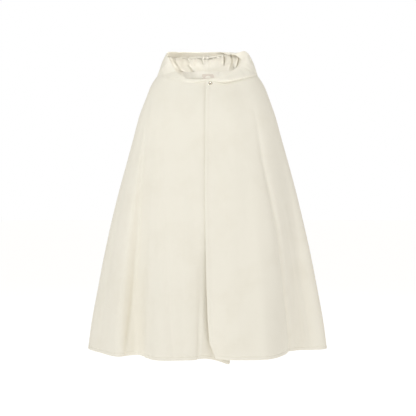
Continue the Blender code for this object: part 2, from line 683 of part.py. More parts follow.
def main():
    for thing in list(bpy.data.objects):
        bpy.data.objects.remove(thing, do_unlink=True)
    stand = bpy.data.objects.new("cloak", None)
    bpy.context.collection.objects.link(stand)

    wool = finish("cream_wool", (0.82, 0.78, 0.68), 0.85)
    satin = finish("ivory_satin", (0.80, 0.75, 0.63), 0.38)
    woven = finish("label_cloth", (0.84, 0.78, 0.72), 0.7)
    metal = finish("polished_metal", (0.72, 0.68, 0.62), 0.2, metallic=1.0)

    body = Body()
    hood = Hood(body)
    build_panels(body, hood, wool)
    build_hood(body, hood, wool, satin)
    build_label(hood, woven)
    build_snap(body, metal)


main()
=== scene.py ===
"""The finished look of a long hooded burnous cloak, worn and hollow, with its hood lowered.

Every cloth piece is a thin wall on the surface that its solid was cut from, worked out again
here at a finer step: an angle round the neck, in degrees from the throat, and a drop from the
neck seam, 0, to the hem, 1. The hood is a second surface, from the neck seam to its rim. Folds,
creases, seams, hems and stitches are added to those surfaces in metres.
"""

import math

import bmesh
import bpy
import numpy as np
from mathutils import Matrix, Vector, noise


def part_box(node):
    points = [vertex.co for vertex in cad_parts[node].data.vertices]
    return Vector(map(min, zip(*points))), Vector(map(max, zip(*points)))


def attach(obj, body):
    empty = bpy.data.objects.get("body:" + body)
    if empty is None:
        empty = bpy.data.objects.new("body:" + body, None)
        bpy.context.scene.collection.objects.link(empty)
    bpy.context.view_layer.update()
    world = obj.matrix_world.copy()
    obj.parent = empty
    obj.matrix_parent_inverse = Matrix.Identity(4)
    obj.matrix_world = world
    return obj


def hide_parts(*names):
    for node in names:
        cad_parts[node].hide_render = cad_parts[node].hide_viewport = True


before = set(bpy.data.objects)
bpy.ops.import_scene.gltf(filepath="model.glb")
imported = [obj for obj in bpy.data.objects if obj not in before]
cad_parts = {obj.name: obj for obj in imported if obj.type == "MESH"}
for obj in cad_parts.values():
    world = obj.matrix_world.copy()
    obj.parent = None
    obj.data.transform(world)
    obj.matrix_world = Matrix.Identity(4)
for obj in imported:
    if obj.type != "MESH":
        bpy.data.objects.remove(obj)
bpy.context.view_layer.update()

MM = 0.001

# Cloth and clearances
WOOL = 2.0 * MM
SATIN = 1.0 * MM
LABEL_CLOTH = 0.8 * MM
SEAM_GAP = 0.3 * MM
LAP_LIFT = 6.2 * MM  # middle of the upper front over the middle of the under front

# The neck seam
NECK_HALF_WIDTH = 0.207
NECK_FRONT = 0.115
NECK_BACK = 0.100
NECK_SIDE_RISE = 0.041
NECK_BACK_RISE = 0.043
NECK_DIP = 0.006  # the seam dips this much either side of the throat
DIP_AT = 0.35  # as a share of the half width, as the next two
DIP_WIDTH = 0.22
THROAT_WIDTH = 0.16
THROAT_RISE = 0.006
HEM_HEIGHT = -1.085
SQUARENESS = 2.3  # of the rounded oblong that each level section follows
FOLD_EASE = 0.18  # how gently a fold begins
FAN_POWER = 0.75  # the fold lines spread fastest near the neck

# Angles of the edges and seams
UPPER_EDGE = -1.4
SIDE_SEAM_LEFT = 90.0
BACK_SEAM = 180.0
SIDE_SEAM_RIGHT = 270.0
UNDER_EDGE = 365.5
SEAMS = (SIDE_SEAM_LEFT, BACK_SEAM, SIDE_SEAM_RIGHT)
# piece, its first angle and its last
PANELS = (
    ("front_left", UPPER_EDGE, SIDE_SEAM_LEFT),
    ("back_left", SIDE_SEAM_LEFT, BACK_SEAM),
    ("back_right", BACK_SEAM, SIDE_SEAM_RIGHT),
    ("front_right", SIDE_SEAM_RIGHT, UNDER_EDGE),
)

# Level sections of the body, without its folds
# drop, half width, depth in front, depth behind
SECTIONS = (
    (0.00, NECK_HALF_WIDTH, NECK_FRONT, NECK_BACK),
    (0.025, 0.2262, 0.127, 0.109),
    (0.07, 0.2480, 0.143, 0.124),
    (0.14, 0.2770, 0.160, 0.140),
    (0.22, 0.3020, 0.174, 0.153),
    (0.34, 0.3405, 0.196, 0.174),
    (0.50, 0.3880, 0.222, 0.207),
    (0.66, 0.4290, 0.244, 0.240),
    (0.80, 0.4600, 0.266, 0.268),
    (0.92, 0.4850, 0.284, 0.290),
    (1.00, 0.4970, 0.292, 0.300),
)

# The folds that fall from the shoulders, one row for each line down the cloth
# line, angle at the neck, x at the hem, y at the hem, drop where it starts, lap, hem lower by
FOLDS = (
    ("upper edge", UPPER_EDGE, 0.031, -0.236, 0.70, 1.0, 0.0),
    ("upper edge fold", 9.0, 0.068, -0.262, 0.60, 1.0, 0.0),
    ("centre ridge", 22.0, 0.122, -0.272, 0.30, 1.0, 0.0),
    ("front ridge", 34.0, 0.205, -0.271, 0.15, 0.0, 0.0),
    ("ridge shoulder", 43.0, 0.252, -0.245, 0.05, 0.0, 0.0),
    ("slope", 51.0, 0.290, -0.190, 0.03, 0.0, 0.0),
    ("slope foot", 58.0, 0.320, -0.122, 0.03, 0.0, 0.0),
    ("left valley", 65.0, 0.352, -0.064, 0.03, 0.0, 0.0),
    ("flute in", 72.0, 0.392, -0.042, 0.03, 0.0, 0.0),
    ("flute face", 80.0, 0.448, -0.038, 0.03, 0.0, 0.0),
    ("left side", SIDE_SEAM_LEFT, 0.493, 0.000, 0.05, 0.0, 0.0),
    ("left flank", 100.0, 0.478, 0.080, 0.05, 0.0, 0.0),
    ("left back flute", 111.0, 0.424, 0.160, 0.05, 0.0, 0.0),
    ("left back valley", 121.0, 0.350, 0.178, 0.08, 0.0, 0.0),
    ("left blade slope", 130.0, 0.298, 0.218, 0.10, 0.0, 0.0),
    ("left blade ridge", 140.0, 0.245, 0.285, 0.12, 0.0, 0.0),
    ("left blade inside", 151.0, 0.165, 0.290, 0.16, 0.0, 0.0),
    ("left back hollow", 164.0, 0.086, 0.236, 0.22, 0.0, 0.0),
    ("back seam", BACK_SEAM, 0.004, 0.250, 0.25, 0.0, 0.0),
    ("centre back ridge", 192.0, -0.066, 0.298, 0.25, 0.0, 0.0),
    ("right blade inside", 204.0, -0.150, 0.290, 0.20, 0.0, 0.0),
    ("right back valley", 217.0, -0.224, 0.216, 0.12, 0.0, 0.0),
    ("right blade slope", 229.0, -0.290, 0.196, 0.10, 0.0, 0.0),
    ("right back flute", 240.0, -0.362, 0.214, 0.08, 0.0, 0.0),
    ("right flank", 251.0, -0.436, 0.142, 0.05, 0.0, 0.0),
    ("right flank low", 261.0, -0.480, 0.064, 0.05, 0.0, 0.0),
    ("right side", SIDE_SEAM_RIGHT, -0.4925, -0.005, 0.05, 0.0, 0.0),
    ("right front flank", 279.0, -0.460, -0.070, 0.05, 0.0, 0.0),
    ("right flank slope", 288.0, -0.408, -0.140, 0.05, 0.0, 0.0),
    ("right flute", 297.0, -0.352, -0.200, 0.05, 0.0, 0.0),
    ("right valley side", 304.0, -0.318, -0.182, 0.05, 0.0, 0.0),
    ("right valley", 311.0, -0.288, -0.160, 0.05, 0.0, 0.0),
    ("right valley rise", 318.0, -0.258, -0.178, 0.08, 0.0, 0.0),
    ("right ridge rise", 325.0, -0.226, -0.244, 0.12, 0.0, 0.0),
    ("right ridge", 333.0, -0.184, -0.286, 0.20, 0.0, 0.0),
    ("right ridge inside", 344.0, -0.108, -0.286, 0.30, 0.0, 0.0),
    ("closing slope", 350.5, -0.070, -0.278, 0.40, 0.0, 0.0),
    ("closing hollow", 356.0, -0.036, -0.264, 0.45, 0.0, 0.0),
    ("turn", 360.3, -0.006, -0.234, 0.50, 0.0, 2.0 * MM),
    ("under lap", 363.2, 0.040, -0.210, 0.50, 0.0, 15.0 * MM),
    ("under edge", UNDER_EDGE, 0.088, -0.206, 0.50, 0.0, 32.0 * MM),
)

# Where the two front edges run: drop, x of the upper edge, x of the under edge
FRONT_EDGES = (
    (0.000, -0.0080, 0.027),
    (0.200, -0.0100, 0.028),
    (0.400, -0.0118, 0.032),
    (0.680, -0.0060, 0.045),
    (0.860, 0.0000, 0.065),
    (0.945, 0.0070, 0.078),
    (1.000, 0.0310, 0.088),
)

# The hood's rim: angle round the neck, x, y, z
RIM = (
    (UPPER_EDGE, -0.0080, -0.1215, 0.013),
    (7.0, 0.0310, -0.1205, 0.017),
    (20.0, 0.0600, -0.1090, 0.029),
    (32.0, 0.0790, -0.0900, 0.040),
    (44.0, 0.1020, -0.0660, 0.056),
    (56.0, 0.1190, -0.0380, 0.0725),
    (68.0, 0.1345, -0.0080, 0.093),
    (80.0, 0.1405, 0.0250, 0.111),
    (92.0, 0.1370, 0.0540, 0.125),
    (104.0, 0.1280, 0.0780, 0.137),
    (116.0, 0.1170, 0.0980, 0.148),
    (132.0, 0.0900, 0.1220, 0.157),
    (152.0, 0.0600, 0.1400, 0.167),
    (BACK_SEAM, 0.0000, 0.1460, 0.169),
    (208.0, -0.0720, 0.1400, 0.168),
    (228.0, -0.1300, 0.1160, 0.165),
    (244.0, -0.1635, 0.0850, 0.158),
    (268.0, -0.1680, 0.0400, 0.131),
    (288.0, -0.1480, -0.0100, 0.095),
    (302.0, -0.1310, -0.0500, 0.059),
    (312.0, -0.1130, -0.0800, 0.036),
    (322.0, -0.0900, -0.0950, 0.021),
    (340.0, -0.0480, -0.1090, 0.014),
    (354.0, -0.0140, -0.1145, 0.0125),
    (UNDER_EDGE, 0.0270, -0.1150, 0.0125),
)

# Where the rim curls inward: angle round the neck, x, y, z from the rim to the top of the curl
CURL = (
    (UPPER_EDGE, 0.000, 0.000, 0.000),
    (36.0, 0.000, 0.000, 0.000),
    (46.0, 0.000, 0.000, 0.000),
    (56.0, 0.002, 0.000, 0.003),
    (68.0, 0.006, 0.002, 0.014),
    (80.0, 0.012, 0.006, 0.034),
    (92.0, 0.019, 0.008, 0.044),
    (104.0, 0.027, 0.006, 0.041),
    (116.0, 0.033, 0.004, 0.036),
    (132.0, 0.030, 0.002, 0.032),
    (152.0, 0.012, 0.000, 0.018),
    (166.0, 0.001, 0.000, 0.005),
    (BACK_SEAM, 0.000, 0.000, 0.000),
    (190.0, 0.000, 0.000, 0.000),
    (200.0, 0.000, 0.000, 0.000),
    (210.0, 0.000, 0.000, 0.000),
    (230.0, 0.000, 0.000, 0.000),
    (UNDER_EDGE, 0.000, 0.000, 0.000),
)
CURL_DEPTH = 0.036  # the curl takes this much of the hood below its rim
CURL_POWER = 2.6

# The hood's profile at the back, from the neck seam over the roll, down the pouch and up to
# the rim: share of the way along, height, distance outside what it hangs on, bulge at the sides
POUCH = (
    (0.00, 0.043, 0.000, 0.000),
    (0.07, 0.060, 0.000, 0.002),
    (0.13, 0.0755, 0.008, 0.003),
    (0.19, 0.062, 0.016, 0.004),
    (0.28, 0.005, 0.013, 0.006),
    (0.38, -0.070, 0.014, 0.007),
    (0.46, -0.128, 0.022, 0.008),
    (0.52, -0.152, 0.034, 0.008),
    (0.58, -0.130, 0.047, 0.008),
    (0.67, -0.060, 0.058, 0.008),
    (0.78, 0.020, 0.064, 0.007),
    (0.89, 0.100, 0.050, 0.005),
    (0.96, 0.146, 0.027, 0.002),
    (1.00, 0.169, 0.000, 0.000),
)
POUCH_FULL = 6.0  # degrees each side of the back seam where the pouch is whole
POUCH_END = 66.0  # and where it has died away
SHALLOW_SPREAD = 0.040  # how far a shallow pouch's layers stand apart
SHALLOW_PEAK = 27 / 256  # the most that pouch * (1 - pouch) ** 3 comes to
POUCH_POWER = 0.4  # a shallow pouch already hangs well clear of the back
FULL_BULGE_HEIGHT = 0.06  # a hood wall lower than this bulges less

# Facing and lining of the hood
FACING_WIDTH = 16.0 * MM
FACING_SHARE = 0.3  # of the hood's height at most, where it runs low at the throat
LINING_FRONT = 52.0  # degrees from the throat where the lining ends, in front
LINING_SEAM = 1.0 * MM
LINING_EASE = 3.2 * MM  # the lining hangs this far inside the wool, away from its edges
LINING_FREED = (7.0 * MM, 8.0 * MM)  # over these distances from the facing and from the neck
ANGLE_STEP = 0.4
NECK_EASE = 12.0 * MM  # the walls turn into the neck seam over this distance

# Steps of the fine grids
BODY_COLUMNS = 520
BODY_ROWS = 150
ROWS_BY_HEM = (0.4, 1.2, 2.5, 6, 10, 12.3, 13.0, 13.5, 14, 14.7, 17)  # mm above it
ROWS_BY_NECK = (1, 2.2, 4, 6.5, 10)  # mm below it
BODY_STEPS_BY_SEAMS = (0.04, 0.12, 0.25, 0.45)  # degrees
HOOD_COLUMNS = 380
HOOD_STEPS_BY_SEAMS = (0.15, 0.4, 0.8)
LINING_SHOWS = (132, 236)  # angles between which the hood's columns are closer
LINING_STEP = 1.0
CLOSEST_COLUMNS = 0.1  # degrees
CLOSEST_ROWS = 3e-4  # share of the body's length
FACING_SAMPLES = 90
HOOD_ROWS = 118
# share of the rows, share of the way up to the facing
HOOD_ROW_SPREAD = ((0, 0.18, 0.5, 1), (0, 0.14, 0.7, 1))
HOOD_ROWS_BY_EDGES = (0.004, 0.012, 0.985, 0.993)  # shares of the way up to the facing
ROWS_UP_FACING = (0.06, 0.15, 0.3, 0.45, 0.6, 0.75, 0.88, 0.95, 1.0)

# Seams, hems and edges. A groove or swell has a height out of the cloth and a half width.
SEAM_GROOVE = (-1.1 * MM, 2.2 * MM)
SEAM_SWELL = (0.5 * MM, 3.0 * MM)
SEAM_SWELL_AT = 6.0 * MM  # each side of the seam
NECK_GROOVE = (-0.4 * MM, 2.5 * MM)
HOOD_SEAM_GROOVE = (-0.6 * MM, 2.2 * MM)
HEM_DEPTH = 13.5 * MM
HEM_GROOVE = (-0.7 * MM, 1.4 * MM)
HEM_RISE = 0.35 * MM
HEM_FULLNESS = 0.25  # the folded hem is thicker by this share
FRONT_HEM = 15.0 * MM
FRONT_HEM_GROOVE = (-0.7 * MM, 1.6 * MM)
FRONT_HEM_RISE = 0.9 * MM
HEM_RAMP = 3.0 * MM
FULLNESS_RAMP = 2.0 * MM
EDGE_RADIUS = 1.6 * MM
FACING_EDGE_RADIUS = 1.2 * MM
LEAST_THICKNESS = 0.12  # share of the full thickness at a rounded edge
CORNER = 12.0 * MM  # the under-lap's corner is rounded by this

# Where the hood hangs over the neck seam, at the wearer's left of the throat
OVERHANG = (3, 15, 58, 78)  # angles where it begins, is whole, is whole until, and ends
OVERHANG_RISE = 5.5 * MM
OVERHANG_RAMP = 5.0 * MM
THROAT_GROOVE = (-3.0 * MM, 5.0 * MM)
THROAT_GROOVE_AT = 3.0 * MM  # below the seam

# The upper front lies closer to the under front below this drop
LAP_TOP = 0.08
LAP_DRAWN_IN = 2.2 * MM
LAP_WIDTH = 80 * MM
LAP_FADE = 50 * MM

# Unevenness of the hanging cloth: size, height, how much longer down the cloth
BODY_WAVES = (0.07, 1.3 * MM, 3.0)
HOOD_WAVES = (0.045, 1.2 * MM, 1.5)
LINING_WAVES = (0.035, 2.2 * MM, 1.2)
LINING_SMALL_WAVES = (0.016, 1.6 * MM, 1.4)
BODY_WAVES_FROM = 0.08  # metres from the neck seam over which they grow
HOOD_WAVES_FROM = (0.03, 0.02)  # from the seam and from the rim

# Creases fade in and out over these shares of their length, and so do the traced folds
CREASE_FADES = (0.3, 0.35)
FOLD_FADES = (0.2, 0.15)

# Stitching
STITCH_PITCH = 3.6 * MM
STITCH_LENGTH = 2.7 * MM
THREAD = 0.55 * MM
STITCH_SIDES = 6
# share along the stitch, thickness, lift
STITCH_SECTIONS = ((0.0, 0.25, -0.3), (0.2, 0.8, 0.1), (0.5, 1.0, 0.3), (0.8, 0.8, 0.1), (1.0, 0.25, -0.3))
STITCH_FLATNESS = 0.8
STITCH_LIFT = 0.2

# Label
LABEL_ANGLES = (173.3, 186.0)
LABEL_HEIGHTS = (3 * MM, 24 * MM)  # above the neck seam
LABEL_LIFT = 2.4 * MM  # off the flat lining

# Snap
CAP_HEIGHT = 3.4 * MM
DISC_HEIGHT = 1.2 * MM
# share of the radius, height
CAP_RIM = ((0.9, 0.0), (1.0, 0.25 * MM), (1.0, 0.8 * MM), (0.95, 1.2 * MM), (0.91, 1.15 * MM))
DOME_SHARE = 0.9
DOME_FOOT = 1.1 * MM
DOME_START = 0.12  # share of the quarter turn where the dome leaves the rim
DOME_STEPS = 16
DISC_EDGE = (0.96, 0.2 * MM)  # share of the radius at the rounded edge, and its height
DISC_HOLLOW = (0.5, 0.45, 0.4 * MM)  # shares of the radius at its mouth and floor, and its depth
SHARP_ANGLE = 40  # degrees between faces that stay sharp

# Creases of the body: angle and drop at the top, angle and drop at the foot,
# height out of the cloth in mm, half width in mm, bow in degrees
BODY_CREASES = (
    (66, 0.04, 68, 0.38, 0.9, 20, 0.5),
    (80, 0.08, 81, 0.46, -0.8, 18, 0.8),
    (15, 0.02, 17, 0.12, 0.5, 10, 0.5),
    (10, 0.30, 12, 0.80, 1.6, 22, 1.0),
    (84, 0.35, 85, 1.00, 1.6, 20, 0.0),
    (97, 0.04, 99, 0.40, -2.2, 16, 0.6),
    (106, 0.30, 105, 1.00, 2.4, 20, -0.6),
    (116, 0.06, 117, 0.62, -2.4, 17, 0.8),
    (126, 0.34, 125, 1.00, 1.8, 16, 0.0),
    (136, 0.22, 137, 0.80, -2.2, 20, -0.8),
    (147, 0.30, 146, 1.00, 2.0, 22, 0.6),
    (158, 0.26, 159, 0.86, -1.8, 18, 0.6),
    (171, 0.34, 172, 1.00, 1.5, 20, 0.0),
    (187, 0.30, 188, 0.90, -1.6, 18, -0.5),
    (198, 0.24, 197, 1.00, 2.0, 20, 0.5),
    (210, 0.26, 210, 0.84, -2.4, 17, 0.6),
    (223, 0.32, 224, 1.00, 2.0, 18, -0.5),
    (235, 0.10, 234, 0.70, -2.0, 20, 0.8),
    (246, 0.28, 245, 1.00, 2.4, 20, -0.6),
    (257, 0.05, 256, 0.50, -2.0, 15, 0.6),
    (266, 0.40, 266, 1.00, 1.5, 16, 0.0),
    (276, 0.05, 275, 0.40, 1.8, 16, -0.6),
    (284, 0.30, 283, 1.00, -1.8, 17, 0.6),
    (293, 0.04, 292, 0.36, -2.2, 15, 0.8),
    (348, 0.20, 348, 0.70, 1.2, 18, 0.4),
)

# The photograph's main folds of the fronts, followed down the cloth:
# height in mm at the top and at the foot, half width in mm, then angle and drop along the fold
FRONT_FOLDS = (
    (-3.0, -6.0, 12, (
        (289, 0.04), (299, 0.162), (305, 0.305), (310.5, 0.448), (312, 0.60), (309.5, 0.80),
        (304.5, 0.96), (303, 1.1),
    )),
    (2.0, 3.5, 20, (
        (309, 0.05), (316, 0.12), (320, 0.30), (322, 0.444), (323.5, 0.726), (322.5, 0.94), (322, 1.1),
    )),
    (-1.5, -4.5, 15, ((319.5, 0.14), (330, 0.44), (336, 0.676), (340, 0.946), (341, 1.1))),
    (0.0, -9.0, 9, ((357, 0.60), (357, 0.80), (356.5, 1.0), (356.5, 1.1))),
    (1.0, 3.0, 18, ((345, 0.35), (347, 0.432), (349.5, 0.718), (351, 0.965), (351, 1.1))),
    (-1.5, -11.0, 11, (
        (41, 0.03), (43.1, 0.081), (44.6, 0.193), (46.1, 0.328), (49.1, 0.448), (52.1, 0.56),
        (56.1, 0.795), (61.6, 0.973), (63, 1.1),
    )),
    (-2.5, -7.0, 24, ((43, 0.10), (46.1, 0.328), (51, 0.56), (55, 0.795), (60, 0.973), (61, 1.1))),
    (1.5, 4.0, 26, ((31.1, 0.10), (33.6, 0.332), (33.1, 0.548), (35.1, 0.795), (35.6, 0.965), (36, 1.1))),
    (1.0, 5.0, 14, ((56, 0.38), (60.1, 0.452), (70.6, 0.819), (73.6, 0.981), (75, 1.1))),
)

# The photograph's main folds of the lining, from the rim down:
# height towards the viewer in mm at both ends, half width in mm, then angle and metres below the rim
LINING_FOLDS = (
    (16.0, 12.0, 4.2, (
        (211, 0.006), (209.5, 0.023), (203.5, 0.054), (203, 0.067), (196.5, 0.089), (188.5, 0.109),
        (183, 0.122),
    )),
    (11.0, 8.5, 3.0, ((190, 0.008), (188.5, 0.025), (186, 0.046), (185, 0.058))),
    (11.0, 8.5, 3.0, ((157.5, 0.020), (158.5, 0.044), (160, 0.061), (161, 0.074))),
    (4.5, 4.5, 7.0, ((227, 0.020), (220, 0.059), (210.5, 0.090), (202.5, 0.115))),
    (-3.0, -3.0, 5.0, ((233, 0.016), (229.5, 0.039), (220, 0.069), (214, 0.085))),
    (6.5, 6.0, 4.5, ((137, 0.040), (140, 0.074), (146, 0.099), (150, 0.115))),
    (5.5, 5.0, 3.6, ((222, 0.083), (210, 0.096), (198.5, 0.104), (188, 0.110))),
    (-3.0, -3.0, 5.0, ((206, 0.030), (198, 0.058), (195, 0.074))),
    (3.0, 3.0, 5.0, ((150, 0.030), (150, 0.070), (157, 0.100))),
)

# Creases of the hood's wool: angle and metres above the neck seam at each end,
# height in mm, half width in mm, bow in degrees
HOOD_CREASES = (
    (18, 0.004, 30, 0.030, -1.2, 5, 1.0),
    (40, 0.000, 50, 0.060, 1.8, 9, 2.0),
    (62, 0.004, 58, 0.080, -2.0, 8, 3.0),
    (78, 0.000, 74, 0.100, 2.0, 11, -2.0),
    (95, 0.006, 98, 0.130, -2.4, 10, 2.0),
    (113, 0.030, 112, 0.200, 2.4, 12, 2.0),
    (132, 0.200, 138, 0.420, -2.6, 12, -3.0),
    (150, 0.160, 147, 0.400, 2.6, 14, 2.0),
    (164, 0.300, 168, 0.520, -3.0, 13, 3.0),
    (193, 0.280, 190, 0.520, -2.8, 13, -2.0),
    (209, 0.160, 212, 0.400, 2.6, 14, 2.0),
    (226, 0.210, 221, 0.430, -2.6, 12, 3.0),
    (246, 0.020, 249, 0.200, 2.2, 12, -2.0),
    (264, 0.006, 262, 0.130, -2.2, 10, 2.0),
    (281, 0.000, 284, 0.100, 2.0, 10, 2.0),
    (297, 0.002, 303, 0.070, -1.8, 8, 2.0),
    (312, 0.000, 320, 0.040, 1.6, 7, -2.0),
    (330, 0.003, 341, 0.022, -1.0, 5, 1.0),
)

# Creases of the lining: angle and metres below the rim at each end, height towards the viewer
# in mm, half width in mm, bow in degrees
LINING_CREASES = (
    (216, 0.016, 219, 0.060, -2.5, 4.5, 1.0),
    (196, 0.014, 198, 0.046, -2.0, 4.0, 0.5),
    (166, 0.014, 168, 0.060, -1.6, 5.0, 1.0),
    (178, 0.012, 181, 0.050, 2.2, 4.0, 0.0),
    (149, 0.013, 152, 0.070, 3.2, 5.0, -2.0),
    (128, 0.013, 134, 0.070, 4.5, 5.0, -3.0),
    (120, 0.012, 122, 0.050, -2.0, 4.0, 0.0),
    (237, 0.013, 232, 0.080, 4.0, 6.0, 2.0),
    (246, 0.013, 243, 0.070, 3.0, 5.0, 2.0),
    (172, 0.060, 150, 0.085, 2.2, 6.0, -4.0),
    (258, 0.020, 252, 0.090, 2.6, 6.0, 2.0),
    (104, 0.020, 110, 0.090, 2.6, 6.0, -2.0),
    (86, 0.020, 92, 0.070, -2.0, 5.0, 2.0),
    (274, 0.020, 270, 0.070, -2.0, 5.0, -2.0),
)
# Creases of the lining on the neck part, below the roll: metres above the neck seam
NECK_CREASES = (
    (206, 0.044, 197, 0.012, 2.6, 5.0, 1.0),
    (216, 0.046, 210, 0.014, -2.0, 5.0, 1.0),
    (226, 0.048, 222, 0.010, 2.2, 6.0, -1.0),
    (164, 0.046, 168, 0.016, -1.8, 5.0, 1.0),
    (152, 0.048, 156, 0.012, 2.4, 6.0, 1.0),
    (140, 0.050, 142, 0.010, -1.8, 6.0, 1.0),
    (236, 0.050, 234, 0.012, -1.8, 6.0, 1.0),
)

# Colours of the materials, darker and lighter
WOOL_COLOURS = ((0.845, 0.800, 0.690), (0.885, 0.845, 0.742))
SATIN_COLOURS = ((0.880, 0.840, 0.745), (0.910, 0.875, 0.790))
LABEL_COLOURS = ((0.74, 0.66, 0.58), (0.80, 0.73, 0.65))
THREAD_COLOURS = ((0.80, 0.74, 0.61), (0.86, 0.81, 0.70))
METAL_COLOUR = (0.72, 0.66, 0.56, 1)

# The cut of each sheet: piece, slot, width and length, area
CUTS = (
    ("front_left", "wool", (0.80, 1.14), 0.545),
    ("back_left", "wool", (0.80, 1.15), 0.555),
    ("back_right", "wool", (0.80, 1.15), 0.563),
    ("front_right", "wool", (0.88, 1.17), 0.607),
    ("hood_left", "wool", (0.60, 0.50), 0.130),
    ("hood_facing_left", "wool", (0.62, 0.0165), 0.0098),
    ("hood_lining_left", "satin", (0.48, 0.50), 0.118),
    ("hood_right", "wool", (0.60, 0.50), 0.130),
    ("hood_facing_right", "wool", (0.62, 0.0165), 0.0098),
    ("hood_lining_right", "satin", (0.48, 0.50), 0.118),
    ("label", "label_cloth", (0.056, 0.021), None),
)

# Camera and studio
CAMERA_PLACE = (0.002, -3.49, -0.5037)
LENS = 72.87
SENSOR = 36.0
FAR = 200  # the camera sees the floor this far
FLOOR_HEIGHT = -1.40
FLOOR_RADIUS = 60.0
FLOOR_GREY = 0.4
FLOOR_GLOW = 0.80
ROOM_LIGHT = 0.45
ROOM_COLOUR = (1.0, 0.965, 0.90, 1)
MIDDLE = (0, 0, -0.5)
# name, place, aim, size, power, colour
SOFT_LIGHTS = (
    ("key", (-2.6, -3.4, 1.3), MIDDLE, 1.0, 40, (0.93, 0.975, 1.0)),
    ("front light", (0.5, -3.8, 0.15), (0, 0, -0.3), 0.8, 5, (0.95, 0.98, 1.0)),
    ("top light", (0.0, -1.6, 2.6), (0, 0, 0), 1.6, 14, (0.93, 0.975, 1.0)),
    ("right fill", (3.2, -2.2, 0.2), MIDDLE, 1.6, 10, (0.97, 0.98, 1.0)),
    ("back", (0.6, 3.6, 2.2), MIDDLE, 2.4, 30, (1, 1, 1)),
)
# The two narrow lights on the corners of the hood's lining: place, aim, power
HOOD_LIGHTS = (
    ((0.75, -0.80, 0.28), (-0.150, 0.10, 0.152), 38),
    ((-0.75, -0.80, 0.28), (0.118, 0.10, 0.155), 27),
)
HOOD_LIGHT_CONE = 17  # degrees
HOOD_LIGHT_RADIUS = 0.10


def curve_through(knots, values, at):
    """The natural cubic curve through the values at the knots, read at the places given."""
    knots = np.asarray(knots, float)
    values = np.asarray(values, float).reshape(len(knots), -1)
    at = np.asarray(at, float)
    step = np.diff(knots)
    slope = np.diff(values, axis=0) / step[:, None]
    system = np.eye(len(knots))
    bend = np.zeros_like(values)
    for i in range(1, len(knots) - 1):
        system[i, i - 1 : i + 2] = step[i - 1], 2 * (step[i - 1] + step[i]), step[i]
        bend[i] = 6 * (slope[i] - slope[i - 1])
    bend = np.linalg.solve(system, bend)
    span = np.clip(np.searchsorted(knots, at, side="right") - 1, 0, len(knots) - 2)
    along = (at - knots[span])[:, None]
    left = (knots[span + 1] - at)[:, None]
    width = step[span][:, None]
    cubic = bend[span] * left**3 + bend[span + 1] * along**3
    line = (values[span] / width - bend[span] * width / 6) * left
    return cubic / (6 * width) + line + (values[span + 1] / width - bend[span + 1] * width / 6) * along


def table_curve(table, place):
    """The curve through a table's rows at one place, which is what its first column gives."""
    return curve_through([row[0] for row in table], [row[1:] for row in table], [place])[0]


def rounded(value):
    """Sine or cosine of a turn, squared off for the rounded oblong."""
    return np.sign(value) * np.abs(value) ** (2 / SQUARENESS)


def smooth_step(share):
    share = np.clip(share, 0, 1)
    return share * share * (3 - 2 * share)


def unit(vectors):
    return vectors / np.linalg.norm(vectors, axis=-1, keepdims=True)


def neck_height(turn):
    """Height of the neck seam at a turn round the neck, in radians from the throat."""
    ahead = np.maximum(np.cos(turn), 0) ** 2.0
    behind = np.maximum(-np.cos(turn), 0) ** 2.0
    aside = np.abs(rounded(np.sin(turn)))
    beside = np.exp(-(((aside - DIP_AT) / DIP_WIDTH) ** 2)) * (np.cos(turn) > 0)
    throat = np.exp(-((aside / THROAT_WIDTH) ** 2)) * (np.cos(turn) > 0)
    rise = NECK_SIDE_RISE * (1 - ahead) + (NECK_BACK_RISE - NECK_SIDE_RISE) * behind
    return rise - NECK_DIP * beside + THROAT_RISE * throat


def fold_growth(drop, start):
    """How much of a fold there is at a drop: none at its start, all of it at the hem."""
    share = np.clip((drop - start) / (1 - start), 0, 1)
    whole = math.sqrt(1 + FOLD_EASE**2) - FOLD_EASE
    return (np.sqrt(share**2 + FOLD_EASE**2) - FOLD_EASE) / whole


class Body:
    """The one surface that the fronts and backs are cut from."""

    def __init__(self):
        columns = np.array([row[1:] for row in FOLDS]).T
        self.angles, hem_x, hem_y, self.start, self.lap, self.lower = columns
        self.turn_at_neck = np.radians(self.angles)
        half, front, back = SECTIONS[-1][1:]
        depth = np.where(hem_y < 0, front, back)
        across = np.sign(hem_x) * (np.abs(hem_x) / half) ** (SQUARENESS / 2)
        ahead = -np.sign(hem_y) * (np.abs(hem_y) / depth) ** (SQUARENESS / 2)
        turn = np.arctan2(across, ahead)
        whole = 2 * math.pi
        self.turn_at_hem = turn + whole * np.round((self.turn_at_neck - turn) / whole)
        self.reach = (np.abs(across) ** 2 + np.abs(ahead) ** 2) ** (1 / SQUARENESS)

    def lines(self, drop):
        """Where each fold line is at a drop: its x, its y, and how much the hem hangs lower."""
        half, front, back = table_curve(SECTIONS, drop)
        turn = self.turn_at_neck + (self.turn_at_hem - self.turn_at_neck) * drop**FAN_POWER
        reach = 1 + (self.reach - 1) * fold_growth(drop, self.start)
        depth = np.where(np.cos(turn) > 0, front, back)
        x = reach * half * rounded(np.sin(turn))
        y = -reach * depth * rounded(np.cos(turn)) - LAP_LIFT * self.lap
        drops, upper, under = zip(*FRONT_EDGES)
        x[0] = np.interp(drop, drops, upper)
        x[-1] = np.interp(drop, drops, under)
        x[-2] = (x[-1] + x[-3]) / 2
        return np.stack([x, y, self.lower], axis=1)

    def ring(self, drop, angles):
        """Points of the body at one drop, at the angles given."""
        points = curve_through(self.angles, self.lines(drop), angles)
        top = neck_height(np.radians(angles))
        points[:, 2] = top + (HEM_HEIGHT - points[:, 2] - top) * drop
        return points

    def grid(self, drops, angles):
        return np.array([self.ring(drop, angles) for drop in drops])


